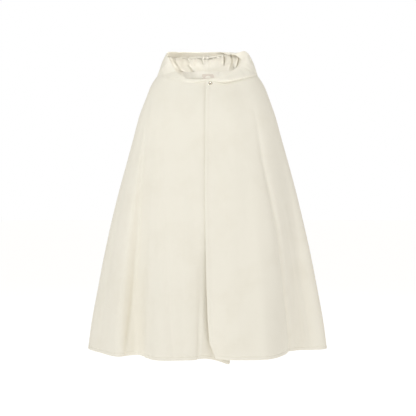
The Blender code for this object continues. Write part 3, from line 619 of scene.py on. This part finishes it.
class Hood:
    """The surface of the lowered hood, from the neck seam to the rim."""

    def __init__(self, body):
        self.body = body

    def column(self, angle, shares):
        """Points of the hood at one angle, at shares of the way from the seam to the rim."""
        seam = self.body.ring(0.0, [angle])[0]
        beside = self.body.ring(0.0, [angle - ANGLE_STEP, angle + ANGLE_STEP])
        along = beside[1] - beside[0]
        outward = np.array([along[1], -along[0], 0.0])
        outward /= np.linalg.norm(outward)
        curl = table_curve(CURL, angle)
        rim = table_curve(RIM, angle) + curl
        from_back = abs(angle - BACK_SEAM)
        pouch = smooth_step((POUCH_END - from_back) / (POUCH_END - POUCH_FULL))
        points = []
        for share, height, clear, bulge in POUCH:
            line = seam + (rim - seam) * share
            shift = (seam[2] - POUCH[0][1]) * (1 - share) + (rim[2] - POUCH[-1][1]) * share
            z = line[2] + (height + shift - line[2]) * pouch
            if z >= seam[2]:
                spine = seam + (rim - seam) * (z - seam[2]) / (rim[2] - seam[2])
            else:
                drop = (seam[2] - z) / (seam[2] - HEM_HEIGHT)
                spine = self.body.ring(drop, [angle])[0]
            shallow = pouch * (1 - pouch) ** 3 / SHALLOW_PEAK
            out = clear * pouch**POUCH_POWER + SHALLOW_SPREAD * shallow * 4 * share * (1 - share)
            out += bulge * (1 - pouch) * min(1.0, (rim[2] - seam[2]) / FULL_BULGE_HEIGHT)
            points.append(spine + outward * out)
        length = np.linalg.norm(np.diff(points, axis=0), axis=1).sum()
        turned = np.clip(1 - (1 - np.asarray(shares)) * length / CURL_DEPTH, 0, 1) ** CURL_POWER
        return curve_through([row[0] for row in POUCH], points, shares) - curl * turned[:, None]

    def facing_share(self, angle):
        """Share of the way up where the facing begins."""
        points = self.column(angle, np.linspace(0, 1, 60))
        length = np.linalg.norm(np.diff(points, axis=0), axis=1).sum()
        return 1 - min(FACING_WIDTH, FACING_SHARE * length) / length


def grid_normals(grid, upward):
    """Unit normals on the outer side of a grid whose rows run up or down the cloth."""
    along = np.gradient(grid, axis=0)
    around = np.gradient(grid, axis=1)
    return unit(np.cross(around, along) if upward else np.cross(along, around))


def run_down(grid):
    """Metres along the cloth from the first row, for every point."""
    steps = np.linalg.norm(np.diff(grid, axis=0), axis=2)
    return np.vstack([np.zeros(grid.shape[1]), np.cumsum(steps, axis=0)])


def degree_length(grid, angles):
    """Metres of cloth for each degree round the neck, for every point."""
    steps = np.linalg.norm(np.gradient(grid, axis=1), axis=2)
    return steps / np.gradient(angles)[None, :]


def creases(rows, angles, along, degree):
    """Heights of soft troughs and ridges; each runs from one angle and place to another."""
    height = np.zeros(along.shape)
    for start_angle, start, end_angle, end, rise, half_width, bow in rows:
        share = (along - start) / (end - start)
        inside = np.clip(share, 0, 1)
        centre = start_angle + (end_angle - start_angle) * share + bow * 4 * inside * (1 - inside)
        across = (angles[None, :] - centre) * degree
        fade = smooth_step(share / CREASE_FADES[0] + 0.5 * (start <= 0))
        fade = fade * smooth_step((1 - share) / CREASE_FADES[1] + (end >= 1))
        height += ridge(across, rise * MM, half_width * MM) * fade
    return height


def traced(rows, angles, along, degree):
    """Heights of troughs and ridges that each follow a line through several places."""
    height = np.zeros(along.shape)
    for top_rise, foot_rise, half_width, path in rows:
        places = [place for _, place in path]
        centre = np.interp(along, places, [angle for angle, _ in path])
        across = (angles[None, :] - centre) * degree
        share = (along - places[0]) / (places[-1] - places[0])
        fade = smooth_step(share / FOLD_FADES[0]) * smooth_step((1 - share) / FOLD_FADES[1])
        rise = top_rise + (foot_rise - top_rise) * np.clip(share, 0, 1)
        height += ridge(across, rise * MM, half_width * MM) * fade
    return height


def waviness(grid, size, height, stretch=1.0):
    """Gentle unevenness of hanging cloth, longer down the cloth than across it."""
    flat = grid.reshape(-1, 3)
    values = [noise.noise(Vector((x / size, y / size, z / (size * stretch)))) for x, y, z in flat]
    return height * np.array(values).reshape(grid.shape[:2])


def near(distance, width):
    """1 on a line and 0 well away from it."""
    return np.exp(-((distance / width) ** 2))


def ridge(distance, height, half_width):
    """Height of a soft ridge, or of a groove where the height is negative."""
    return height * near(distance, half_width)


def window(value, begins, whole, whole_until, ends):
    """1 in the middle of a range and 0 outside it, with soft ends."""
    rise = smooth_step((value - begins) / (whole - begins))
    return rise * smooth_step((ends - value) / (ends - whole_until))


def edge_round(distance, radius):
    """Share of the full thickness at a distance from a folded edge."""
    inside = np.clip(1 - distance / radius, 0, 1)
    return np.maximum(np.sqrt(1 - inside**2), LEAST_THICKNESS)


def fine_steps(low, high, count, marks, offsets):
    """Even steps from low to high with closer ones on each side of the marks."""
    steps = list(np.linspace(low, high, count))
    for mark in marks:
        steps += [mark] + [mark + side * offset for offset in offsets for side in (-1, 1)]
    steps = np.unique(np.round([s for s in steps if low <= s <= high], 6))
    return steps[np.insert(np.diff(steps) > 1e-5, 0, True)]


def wall(name, outer, inner, material):
    """A closed wall between two grids of the same size."""
    rows, columns = outer.shape[:2]
    count = rows * columns
    vertices = np.concatenate([outer.reshape(-1, 3), inner.reshape(-1, 3)])
    index = np.arange(count).reshape(rows, columns)
    cells = np.stack([index[:-1, :-1], index[:-1, 1:], index[1:, 1:], index[1:, :-1]], axis=-1)
    faces = [cells.reshape(-1, 4), cells.reshape(-1, 4)[:, ::-1] + count]
    rim = np.concatenate([index[0], index[1:, -1], index[-1, -2::-1], index[-2:0:-1, 0]])
    after = np.roll(rim, -1)
    faces.append(np.stack([after, rim, rim + count, after + count], axis=-1))
    mesh = bpy.data.meshes.new(name)
    mesh.from_pydata(vertices.tolist(), [], np.concatenate(faces).tolist())
    bm = bmesh.new()
    bm.from_mesh(mesh)
    bmesh.ops.recalc_face_normals(bm, faces=bm.faces)
    bm.to_mesh(mesh)
    bm.free()
    mesh.shade_smooth()
    return placed(name, mesh, material)


def placed(name, mesh, material):
    mesh.materials.append(material)
    piece = bpy.data.objects.new(name, mesh)
    bpy.context.scene.collection.objects.link(piece)
    return piece


def read_off(places, known, points):
    """Points or directions between those known, at the places."""
    return np.stack([np.interp(places, known, points[:, k]) for k in range(3)], axis=1)


def between(angles, low, high):
    """Which angles lie from the low one to the high one."""
    return (angles >= low - 1e-6) & (angles <= high + 1e-6)


def drawn_in(grid, edge, distance):
    """The grid with one edge, top, foot, before or after, drawn in by a distance."""
    grid = grid.copy()
    inside = {"top": (grid[0], grid[1]), "foot": (grid[-1], grid[-2]),
              "before": (grid[:, 0], grid[:, 1]), "after": (grid[:, -1], grid[:, -2])}[edge]
    step = unit(inside[1] - inside[0])
    inside[0][...] += step * distance
    return grid


class Cloak:
    """The fine grids of the body and the hood, with their normals, for the pieces to be cut from."""

    def __init__(self):
        self.body = Body()
        self.hood = Hood(self.body)
        self.make_body()
        self.make_hood()
        self.share_neck_seam()

    def make_body(self):
        marks = (UPPER_EDGE, *SEAMS, UNDER_EDGE)
        self.angles = fine_steps(UPPER_EDGE, UNDER_EDGE, BODY_COLUMNS, marks, BODY_STEPS_BY_SEAMS)
        length = -HEM_HEIGHT
        hem_marks = [1 - d * MM / length for d in ROWS_BY_HEM]
        neck_marks = [d * MM / length for d in ROWS_BY_NECK]
        drops = np.concatenate([np.linspace(0, 1, BODY_ROWS), hem_marks, neck_marks])
        drops = np.unique(np.round(drops, 6))
        self.drops = drops[np.insert(np.diff(drops) > CLOSEST_ROWS, 0, True)]
        self.drops[-1] = 1.0
        grid = self.body.grid(self.drops, self.angles)
        degree = degree_length(grid, self.angles)
        down = run_down(grid)
        up = down[-1] - down
        drop = np.broadcast_to(self.drops[:, None], down.shape)
        height = creases(BODY_CREASES, self.angles, drop, degree)
        height += traced(FRONT_FOLDS, self.angles, drop, degree)
        height += waviness(grid, *BODY_WAVES) * smooth_step(down / BODY_WAVES_FROM)
        for seam in SEAMS:
            aside = (self.angles - seam)[None, :] * degree
            height += ridge(aside, *SEAM_GROOVE)
            height += ridge(np.abs(aside) - SEAM_SWELL_AT, *SEAM_SWELL)
        height += ridge(down, *NECK_GROOVE)
        height += ridge(down - THROAT_GROOVE_AT, *THROAT_GROOVE) * window(self.angles, *OVERHANG)
        height += ridge(up - HEM_DEPTH, *HEM_GROOVE)
        height += HEM_RISE * smooth_step((HEM_DEPTH - up) / HEM_RAMP)
        before = (self.angles - UPPER_EDGE)[None, :] * degree
        left = self.angles < BACK_SEAM
        lap = left * smooth_step((self.drops - LAP_TOP) / LAP_TOP)[:, None]
        height -= LAP_DRAWN_IN * lap * smooth_step((LAP_WIDTH - before) / LAP_FADE)
        height += FRONT_HEM_RISE * smooth_step((FRONT_HEM - before) / HEM_RAMP) * left
        height += ridge(before - FRONT_HEM, *FRONT_HEM_GROOVE) * left
        self.grid = grid + grid_normals(grid, False) * height[:, :, None]
        corner = np.clip(1 - (UNDER_EDGE - self.angles)[None, :] * degree / CORNER, 0, 1)
        self.grid[:, :, 2] += CORNER * (1 - np.sqrt(1 - corner**2)) * smooth_step(1 - up / (4 * CORNER))
        self.normal = grid_normals(self.grid, False)
        after = (UNDER_EDGE - self.angles)[None, :] * degree
        edge = edge_round(np.minimum(before, after), EDGE_RADIUS)
        self.half = WOOL / 2 * edge_round(up, EDGE_RADIUS) * edge
        self.half = self.half * (1 + HEM_FULLNESS * smooth_step((HEM_DEPTH - up) / FULLNESS_RAMP))

    def make_hood(self):
        marks = (UPPER_EDGE, BACK_SEAM, UNDER_EDGE)
        self.hood_angles = fine_steps(UPPER_EDGE, UNDER_EDGE, HOOD_COLUMNS, marks, HOOD_STEPS_BY_SEAMS)
        closer = np.arange(*LINING_SHOWS, LINING_STEP) + LINING_STEP / 2
        self.hood_angles = np.union1d(self.hood_angles, closer)
        self.hood_angles = self.hood_angles[np.insert(np.diff(self.hood_angles) > CLOSEST_COLUMNS, 0, True)]
        known = np.linspace(UPPER_EDGE, UNDER_EDGE, FACING_SAMPLES)
        share = np.interp(self.hood_angles, known, [self.hood.facing_share(a) for a in known])
        below = np.interp(np.linspace(0, 1, HOOD_ROWS), *HOOD_ROW_SPREAD)
        below = np.unique(np.round(np.concatenate([below, HOOD_ROWS_BY_EDGES]), 5))
        band = np.array(ROWS_UP_FACING)
        self.band = len(below) - 1
        columns = []
        for angle, facing in zip(self.hood_angles, share):
            columns.append(self.hood.column(angle, np.append(below * facing, facing + (1 - facing) * band)))
        grid = np.stack(columns, axis=1)
        degree = degree_length(grid, self.hood_angles)
        self.up = run_down(grid)
        self.below_rim = self.up[-1] - self.up
        height = creases(HOOD_CREASES, self.hood_angles, self.up, degree)
        waves = waviness(grid, *HOOD_WAVES) * smooth_step(self.up / HOOD_WAVES_FROM[0])
        height += waves * smooth_step(self.below_rim / HOOD_WAVES_FROM[1])
        height += ridge((self.hood_angles - BACK_SEAM)[None, :] * degree, *HOOD_SEAM_GROOVE)
        height += ridge(self.up, *NECK_GROOVE)
        overhang = smooth_step(self.up / OVERHANG_RAMP) * smooth_step(self.below_rim / self.up[-1])
        height += OVERHANG_RISE * overhang * window(self.hood_angles, *OVERHANG)
        self.hood_grid = grid + grid_normals(grid, True) * height[:, :, None]
        self.hood_normal = grid_normals(self.hood_grid, True)
        self.hood_degree = degree
        before = (self.hood_angles - UPPER_EDGE)[None, :] * degree
        after = (UNDER_EDGE - self.hood_angles)[None, :] * degree
        self.hood_half = WOOL / 2 * edge_round(np.minimum(before, after), EDGE_RADIUS)
        self.hood_half = self.hood_half * edge_round(self.below_rim, EDGE_RADIUS)

    def share_neck_seam(self):
        """Both sides of the neck seam take normals halfway between them."""
        shared = unit(self.normal[0] + read_off(self.angles, self.hood_angles, self.hood_normal[0]))
        for_hood = read_off(self.hood_angles, self.angles, shared)
        self.normal = self.eased(self.normal, self.grid, shared)
        self.hood_normal = self.eased(self.hood_normal, self.hood_grid, unit(for_hood))

    def eased(self, normal, grid, shared):
        away = np.linalg.norm(grid - grid[0], axis=2, keepdims=True)
        weight = smooth_step(1 - away / NECK_EASE)
        return unit(normal * (1 - weight) + shared * weight)


def build_panels(cloak, wool):
    """The fronts and backs, parted at the side seams and down the back."""
    pieces = {}
    for name, low, high in PANELS:
        part = between(cloak.angles, low, high)
        grid = drawn_in(cloak.grid[:, part], "top", SEAM_GAP / 2)
        if low != UPPER_EDGE:
            grid = drawn_in(grid, "before", SEAM_GAP / 2)
        if high != UNDER_EDGE:
            grid = drawn_in(grid, "after", SEAM_GAP / 2)
        out = cloak.normal[:, part] * cloak.half[:, part, None]
        pieces[name] = wall(f"{name}_cloth", grid + out, grid - out, wool)
    return pieces


def build_hood(cloak, wool, satin):
    """The hood's halves, the facing along its rim and the creased lining inside."""
    pieces = {}
    inner_side = WOOL / 2 + SEAM_GAP
    for side, low, high in (("left", UPPER_EDGE, BACK_SEAM), ("right", BACK_SEAM, UNDER_EDGE)):
        part = between(cloak.hood_angles, low, high)
        back = "after" if side == "left" else "before"
        grid = drawn_in(cloak.hood_grid[:, part], back, SEAM_GAP / 2)
        normal = cloak.hood_normal[:, part]
        out = normal * cloak.hood_half[:, part, None]
        whole = drawn_in(grid, "top", SEAM_GAP / 2)
        pieces[f"hood_{side}"] = wall(f"hood_{side}_cloth", whole + out, whole - out, wool)

        band = cloak.band
        facing = drawn_in(grid[band:], "top", SEAM_GAP / 2)
        thick = SATIN * edge_round(cloak.below_rim[band:, part], FACING_EDGE_RADIUS)[:, :, None]
        outer = facing - normal[band:] * inner_side
        pieces[f"hood_facing_{side}"] = wall(
            f"hood_facing_{side}_cloth", outer, outer - normal[band:] * thick, wool
        )

        angles = cloak.hood_angles[part]
        lined = np.abs(angles - BACK_SEAM) <= BACK_SEAM - LINING_FRONT
        rows = slice(0, band + 1)
        degree = cloak.hood_degree[rows, part][:, lined]
        below_rim = cloak.below_rim[rows, part][:, lined]
        up = cloak.up[rows, part][:, lined]
        height = creases(LINING_CREASES, angles[lined], below_rim, degree)
        height += creases(NECK_CREASES, angles[lined], up, degree)
        height += traced(LINING_FOLDS, angles[lined], below_rim, degree)
        lining = grid[rows][:, lined]
        height += waviness(lining, *LINING_SMALL_WAVES) + waviness(lining, *LINING_WAVES)
        loose = smooth_step((below_rim - FACING_WIDTH) / LINING_FREED[0])
        loose = loose * smooth_step(up / LINING_FREED[1])
        height = np.maximum((height + LINING_EASE) * loose, 0)
        lining = drawn_in(drawn_in(lining, "top", LINING_SEAM), "foot", SEAM_GAP / 2)
        inward = normal[rows][:, lined]
        outer = lining - inward * (inner_side + height[:, :, None])
        pieces[f"hood_lining_{side}"] = wall(
            f"hood_lining_{side}_cloth", outer, outer - inward * SATIN, satin
        )
    return pieces


def stitches(name, points, normals, material):
    """A run of stitches that lie on the cloth along a line of points."""
    steps = np.linalg.norm(np.diff(points, axis=0), axis=1)
    length = np.concatenate([[0], np.cumsum(steps)])
    starts = np.arange(STITCH_PITCH, length[-1] - STITCH_PITCH, STITCH_PITCH)
    vertices = []
    faces = []
    sides = STITCH_SIDES
    for start in starts:
        places = start + STITCH_LENGTH * np.array([row[0] for row in STITCH_SECTIONS])
        middle = read_off(places, length, points)
        out = unit(read_off(places, length, normals))
        along = unit(middle[-1] - middle[0])
        across = unit(np.cross(out, along))
        first = len(vertices)
        for k, (_, size, lift) in enumerate(STITCH_SECTIONS):
            for turn in np.arange(sides) * 2 * math.pi / sides:
                spoke = across[k] * math.cos(turn) + out[k] * (math.sin(turn) * STITCH_FLATNESS + lift)
                raised = out[k] * lift * THREAD * STITCH_LIFT
                vertices.append(middle[k] + spoke * THREAD / 2 * size + raised)
        last = len(STITCH_SECTIONS) - 1
        for k in range(last):
            for i in range(sides):
                j = (i + 1) % sides
                low = first + k * sides
                faces.append((low + i, low + j, low + sides + j, low + sides + i))
        faces.append(tuple(first + i for i in range(sides))[::-1])
        faces.append(tuple(first + last * sides + i for i in range(sides)))
    mesh = bpy.data.meshes.new(name)
    mesh.from_pydata([tuple(v) for v in vertices], [], faces)
    mesh.shade_smooth()
    return placed(name, mesh, material)


def build_stitching(cloak, thread):
    """Topstitching of the hem and of the upper front edge."""
    pieces = []
    out = cloak.grid + cloak.normal * cloak.half[:, :, None]
    down = run_down(cloak.grid)
    up = down[-1] - down
    row = np.abs(up.mean(axis=1) - HEM_DEPTH).argmin()
    for name, low, high in PANELS:
        part = between(cloak.angles, low, high)
        pieces.append(stitches(f"{name}_hem_stitches", out[row, part], cloak.normal[row, part], thread))
    degree = degree_length(cloak.grid, cloak.angles)
    line = []
    normals = []
    for i in range(1, row):
        place = np.interp(
            FRONT_HEM, np.cumsum(degree[i] * np.gradient(cloak.angles)), np.arange(len(cloak.angles))
        )
        column = int(place)
        share = place - column
        line.append(out[i, column] * (1 - share) + out[i, column + 1] * share)
        normals.append(cloak.normal[i, column])
    pieces.append(stitches("front_edge_stitches", np.array(line), np.array(normals), thread))
    return pieces


def build_label(cloak, woven):
    """A bare woven label at the back of the neck."""
    part = between(cloak.hood_angles, *LABEL_ANGLES)
    up = cloak.up[:, part].mean(axis=1)
    rows = (up > LABEL_HEIGHTS[0]) & (up < LABEL_HEIGHTS[1])
    grid = cloak.hood_grid[rows][:, part]
    normal = cloak.hood_normal[rows][:, part]
    lies_at = WOOL / 2 + SEAM_GAP + SATIN + LABEL_LIFT
    outer = grid - normal * lies_at
    return wall("label_cloth", outer, outer - normal * LABEL_CLOTH, woven)


def round_piece(name, profile, centre, axis, material, around=64):
    """A turned piece: profile rows are radius and height along the axis."""
    axis = unit(axis)
    across = unit(np.cross(axis, (0, 0, 1)))
    upright = np.cross(across, axis)
    vertices = []
    faces = []
    for radius, height in profile:
        for i in range(around):
            turn = 2 * math.pi * i / around
            spoke = across * math.cos(turn) + upright * math.sin(turn)
            vertices.append(tuple(centre + axis * height + spoke * max(radius, 1e-5)))
    for k in range(len(profile) - 1):
        for i in range(around):
            j = (i + 1) % around
            faces.append((k * around + i, k * around + j, (k + 1) * around + j, (k + 1) * around + i))
    faces.append(tuple(range(around))[::-1])
    faces.append(tuple((len(profile) - 1) * around + i for i in range(around)))
    mesh = bpy.data.meshes.new(name)
    mesh.from_pydata(vertices, [], faces)
    mesh.shade_smooth()
    mesh.set_sharp_from_angle(angle=math.radians(SHARP_ANGLE))
    return placed(name, mesh, material)


def build_snap(metal):
    """The closed snap: a domed cap with a rolled rim, its socket behind and the stud."""
    pieces = {}
    for name in ("snap_cap", "snap_socket", "snap_stud"):
        height = CAP_HEIGHT if name == "snap_cap" else DISC_HEIGHT
        low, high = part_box(name)
        centre = np.array((low + high) / 2)
        size = np.array(high - low)
        tilt = math.atan2(size[1] - height, size[2])
        axis = np.array((0.0, -math.cos(tilt), math.sin(tilt)))
        radius = size[0] / 2
        base = centre - axis * height / 2
        if name == "snap_cap":
            profile = [(radius * share, rise) for share, rise in CAP_RIM]
            for turn in np.linspace(DOME_START, 1.0, DOME_STEPS) * math.pi / 2:
                rise = DOME_FOOT + (height - DOME_FOOT) * math.sin(turn)
                profile.append((radius * DOME_SHARE * math.cos(turn), rise))
        else:
            edge, bevel = DISC_EDGE
            mouth, floor, depth = DISC_HOLLOW
            profile = [(radius * edge, 0.0), (radius, bevel), (radius, height - bevel)]
            profile += [(radius * edge, height), (radius * mouth, height), (radius * floor, height - depth)]
        pieces[name] = round_piece(f"{name}_metal", profile, base, axis, metal)
    return pieces


def new_material(name):
    material = bpy.data.materials.new(name)
    material.use_nodes = True
    tree = material.node_tree
    return material, tree, tree.nodes["Principled BSDF"]


def node(tree, kind, inputs=(), **settings):
    made = tree.nodes.new(kind)
    for key, value in settings.items():
        setattr(made, key, value)
    for key, value in dict(inputs).items():
        made.inputs[key].default_value = value
    return made


def mixed_colour(tree, factor, low, high):
    ramp = node(tree, "ShaderNodeValToRGB")
    ramp.color_ramp.elements[0].position = 0.3
    ramp.color_ramp.elements[0].color = (*low, 1)
    ramp.color_ramp.elements[1].position = 0.7
    ramp.color_ramp.elements[1].color = (*high, 1)
    tree.links.new(factor, ramp.inputs["Fac"])
    return ramp.outputs["Color"]


def textured(tree, kind, inputs, **settings):
    """A node that is laid on the piece's own coordinates."""
    made = node(tree, kind, inputs, **settings)
    tree.links.new(node(tree, "ShaderNodeTexCoord").outputs["Object"], made.inputs["Vector"])
    return made


def added(tree, value, share, other):
    """A share of one value added to another."""
    made = node(tree, "ShaderNodeMath", operation="MULTIPLY_ADD")
    made.inputs[1].default_value = share
    tree.links.new(value, made.inputs[0])
    tree.links.new(other, made.inputs[2])
    return made.outputs[0]


def bumped(tree, shader, height, strength, distance):
    bump = node(tree, "ShaderNodeBump", {"Strength": strength, "Distance": distance})
    tree.links.new(height, bump.inputs["Height"])
    tree.links.new(bump.outputs["Normal"], shader.inputs["Normal"])


def cloth_material(name, roughness, sheen):
    material, tree, shader = new_material(name)
    shader.inputs["Roughness"].default_value = roughness
    shader.inputs["Sheen Weight"].default_value = sheen
    return material, tree, shader


def wool_material():
    """Cream wool cloth: a fine twill under a short soft nap."""
    material, tree, shader = cloth_material("cream_wool", 0.9, 0.1)
    broad = textured(tree, "ShaderNodeTexNoise", {"Scale": 9.0, "Detail": 4.0, "Roughness": 0.6})
    fibre = textured(tree, "ShaderNodeTexNoise", {"Scale": 420.0, "Detail": 4.0, "Roughness": 0.7})
    twill = textured(
        tree, "ShaderNodeTexWave", {"Scale": 260.0, "Distortion": 1.6, "Detail": 2.0, "Detail Scale": 3.0},
        wave_type="BANDS", bands_direction="DIAGONAL",
    )
    both = added(tree, twill.outputs["Fac"], 0.35, fibre.outputs["Fac"])
    blend = added(tree, both, 0.25, broad.outputs["Fac"])
    tree.links.new(mixed_colour(tree, blend, *WOOL_COLOURS), shader.inputs["Base Color"])
    shader.inputs["Sheen Roughness"].default_value = 0.6
    bumped(tree, shader, both, 0.35, 0.0006)
    return material


def satin_material():
    """Ivory satin: smooth, with fine threads and a soft lustre."""
    material, tree, shader = cloth_material("ivory_satin", 0.38, 0.1)
    along = textured(tree, "ShaderNodeMapping", {"Scale": (900.0, 900.0, 60.0)})
    threads = node(tree, "ShaderNodeTexNoise", {"Scale": 1.0, "Detail": 3.0})
    tree.links.new(along.outputs["Vector"], threads.inputs["Vector"])
    broad = textured(tree, "ShaderNodeTexNoise", {"Scale": 30.0, "Detail": 3.0})
    tree.links.new(mixed_colour(tree, broad.outputs["Fac"], *SATIN_COLOURS), shader.inputs["Base Color"])
    shader.inputs["Anisotropic"].default_value = 0.4
    bumped(tree, shader, threads.outputs["Fac"], 0.2, 0.0002)
    return material


def label_material():
    """Plain woven tape."""
    material, tree, shader = cloth_material("woven_label", 0.65, 0.0)
    ribs = textured(
        tree, "ShaderNodeTexWave", {"Scale": 400.0, "Distortion": 0.3},
        wave_type="BANDS", bands_direction="Z",
    )
    tree.links.new(mixed_colour(tree, ribs.outputs["Fac"], *LABEL_COLOURS), shader.inputs["Base Color"])
    bumped(tree, shader, ribs.outputs["Fac"], 0.4, 0.0003)
    return material


def metal_material():
    """Polished metal with faint wear."""
    material, tree, shader = new_material("polished_metal")
    wear = textured(tree, "ShaderNodeTexNoise", {"Scale": 900.0, "Detail": 4.0})
    rough = node(tree, "ShaderNodeMapRange", {"To Min": 0.12, "To Max": 0.2})
    tree.links.new(wear.outputs["Fac"], rough.inputs["Value"])
    tree.links.new(rough.outputs["Result"], shader.inputs["Roughness"])
    shader.inputs["Base Color"].default_value = METAL_COLOUR
    shader.inputs["Metallic"].default_value = 1.0
    return material


def thread_material():
    """Cream sewing thread."""
    material, tree, shader = cloth_material("cream_thread", 0.6, 0.0)
    twist = textured(tree, "ShaderNodeTexNoise", {"Scale": 1500.0, "Detail": 2.0})
    tree.links.new(mixed_colour(tree, twist.outputs["Fac"], *THREAD_COLOURS), shader.inputs["Base Color"])
    return material


def aimed(lamp, place, aim):
    bpy.context.scene.collection.objects.link(lamp)
    lamp.location = place
    lamp.rotation_euler = (Vector(aim) - lamp.location).to_track_quat("-Z", "Y").to_euler()


def build_lights():
    """A soft key from the upper left, fills, and two narrow lights into the hood."""
    for name, place, aim, size, power, colour in SOFT_LIGHTS:
        light = bpy.data.lights.new(name, "AREA")
        light.shape = "DISK"
        light.size = size
        light.energy = power
        light.color = colour
        aimed(bpy.data.objects.new(name, light), place, aim)
    for place, aim, power in HOOD_LIGHTS:
        light = bpy.data.lights.new("hood light", "SPOT")
        light.energy = power
        light.spot_size = math.radians(HOOD_LIGHT_CONE)
        light.spot_blend = 1.0
        light.shadow_soft_size = HOOD_LIGHT_RADIUS
        aimed(bpy.data.objects.new("hood light", light), place, aim)


def build_room():
    """A warm room for the light, and white behind the cloak for the camera."""
    world = bpy.data.worlds.new("world")
    bpy.context.scene.world = world
    world.use_nodes = True
    tree = world.node_tree
    room = tree.nodes["Background"]
    room.inputs["Strength"].default_value = ROOM_LIGHT
    room.inputs["Color"].default_value = ROOM_COLOUR
    backdrop = node(tree, "ShaderNodeBackground", {"Color": (1, 1, 1, 1), "Strength": 1.0})
    choice = node(tree, "ShaderNodeMixShader")
    tree.links.new(node(tree, "ShaderNodeLightPath").outputs["Is Camera Ray"], choice.inputs["Fac"])
    tree.links.new(room.outputs["Background"], choice.inputs[1])
    tree.links.new(backdrop.outputs["Background"], choice.inputs[2])
    tree.links.new(choice.outputs["Shader"], tree.nodes["World Output"].inputs["Surface"])


def build_floor():
    bm = bmesh.new()
    bmesh.ops.create_circle(bm, cap_ends=True, radius=FLOOR_RADIUS, segments=128)
    mesh = bpy.data.meshes.new("floor")
    bm.to_mesh(mesh)
    bm.free()
    material, _, shader = new_material("pale_floor")
    shader.inputs["Base Color"].default_value = (FLOOR_GREY, FLOOR_GREY, FLOOR_GREY, 1)
    shader.inputs["Roughness"].default_value = 0.9
    shader.inputs["Emission Color"].default_value = (1, 1, 1, 1)
    shader.inputs["Emission Strength"].default_value = FLOOR_GLOW
    floor = placed("floor", mesh, material)
    floor.location = (0, 0, FLOOR_HEIGHT)


def build_camera():
    """A level camera before the cloak."""
    lens = bpy.data.cameras.new("camera")
    lens.lens = LENS
    lens.sensor_width = SENSOR
    lens.clip_end = FAR
    camera = bpy.data.objects.new("camera", lens)
    bpy.context.scene.collection.objects.link(camera)
    camera.location = CAMERA_PLACE
    camera.rotation_euler = (math.radians(90), 0, 0)
    bpy.context.scene.camera = camera


def main():
    wool = wool_material()
    satin = satin_material()
    woven = label_material()
    metal = metal_material()
    thread = thread_material()
    cloak = Cloak()
    sheets = build_panels(cloak, wool)
    sheets.update(build_hood(cloak, wool, satin))
    sheets["label"] = build_label(cloak, woven)
    for name, slot, flat, area in CUTS:
        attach(sheets[name], "root")
        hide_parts(name)
    for name, piece in build_snap(metal).items():
        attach(piece, "root")
        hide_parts(name)
    for piece in build_stitching(cloak, thread):
        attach(piece, "root")
    build_camera()
    build_lights()
    build_room()
    build_floor()
    bpy.context.scene.view_settings.view_transform = "Standard"


main()
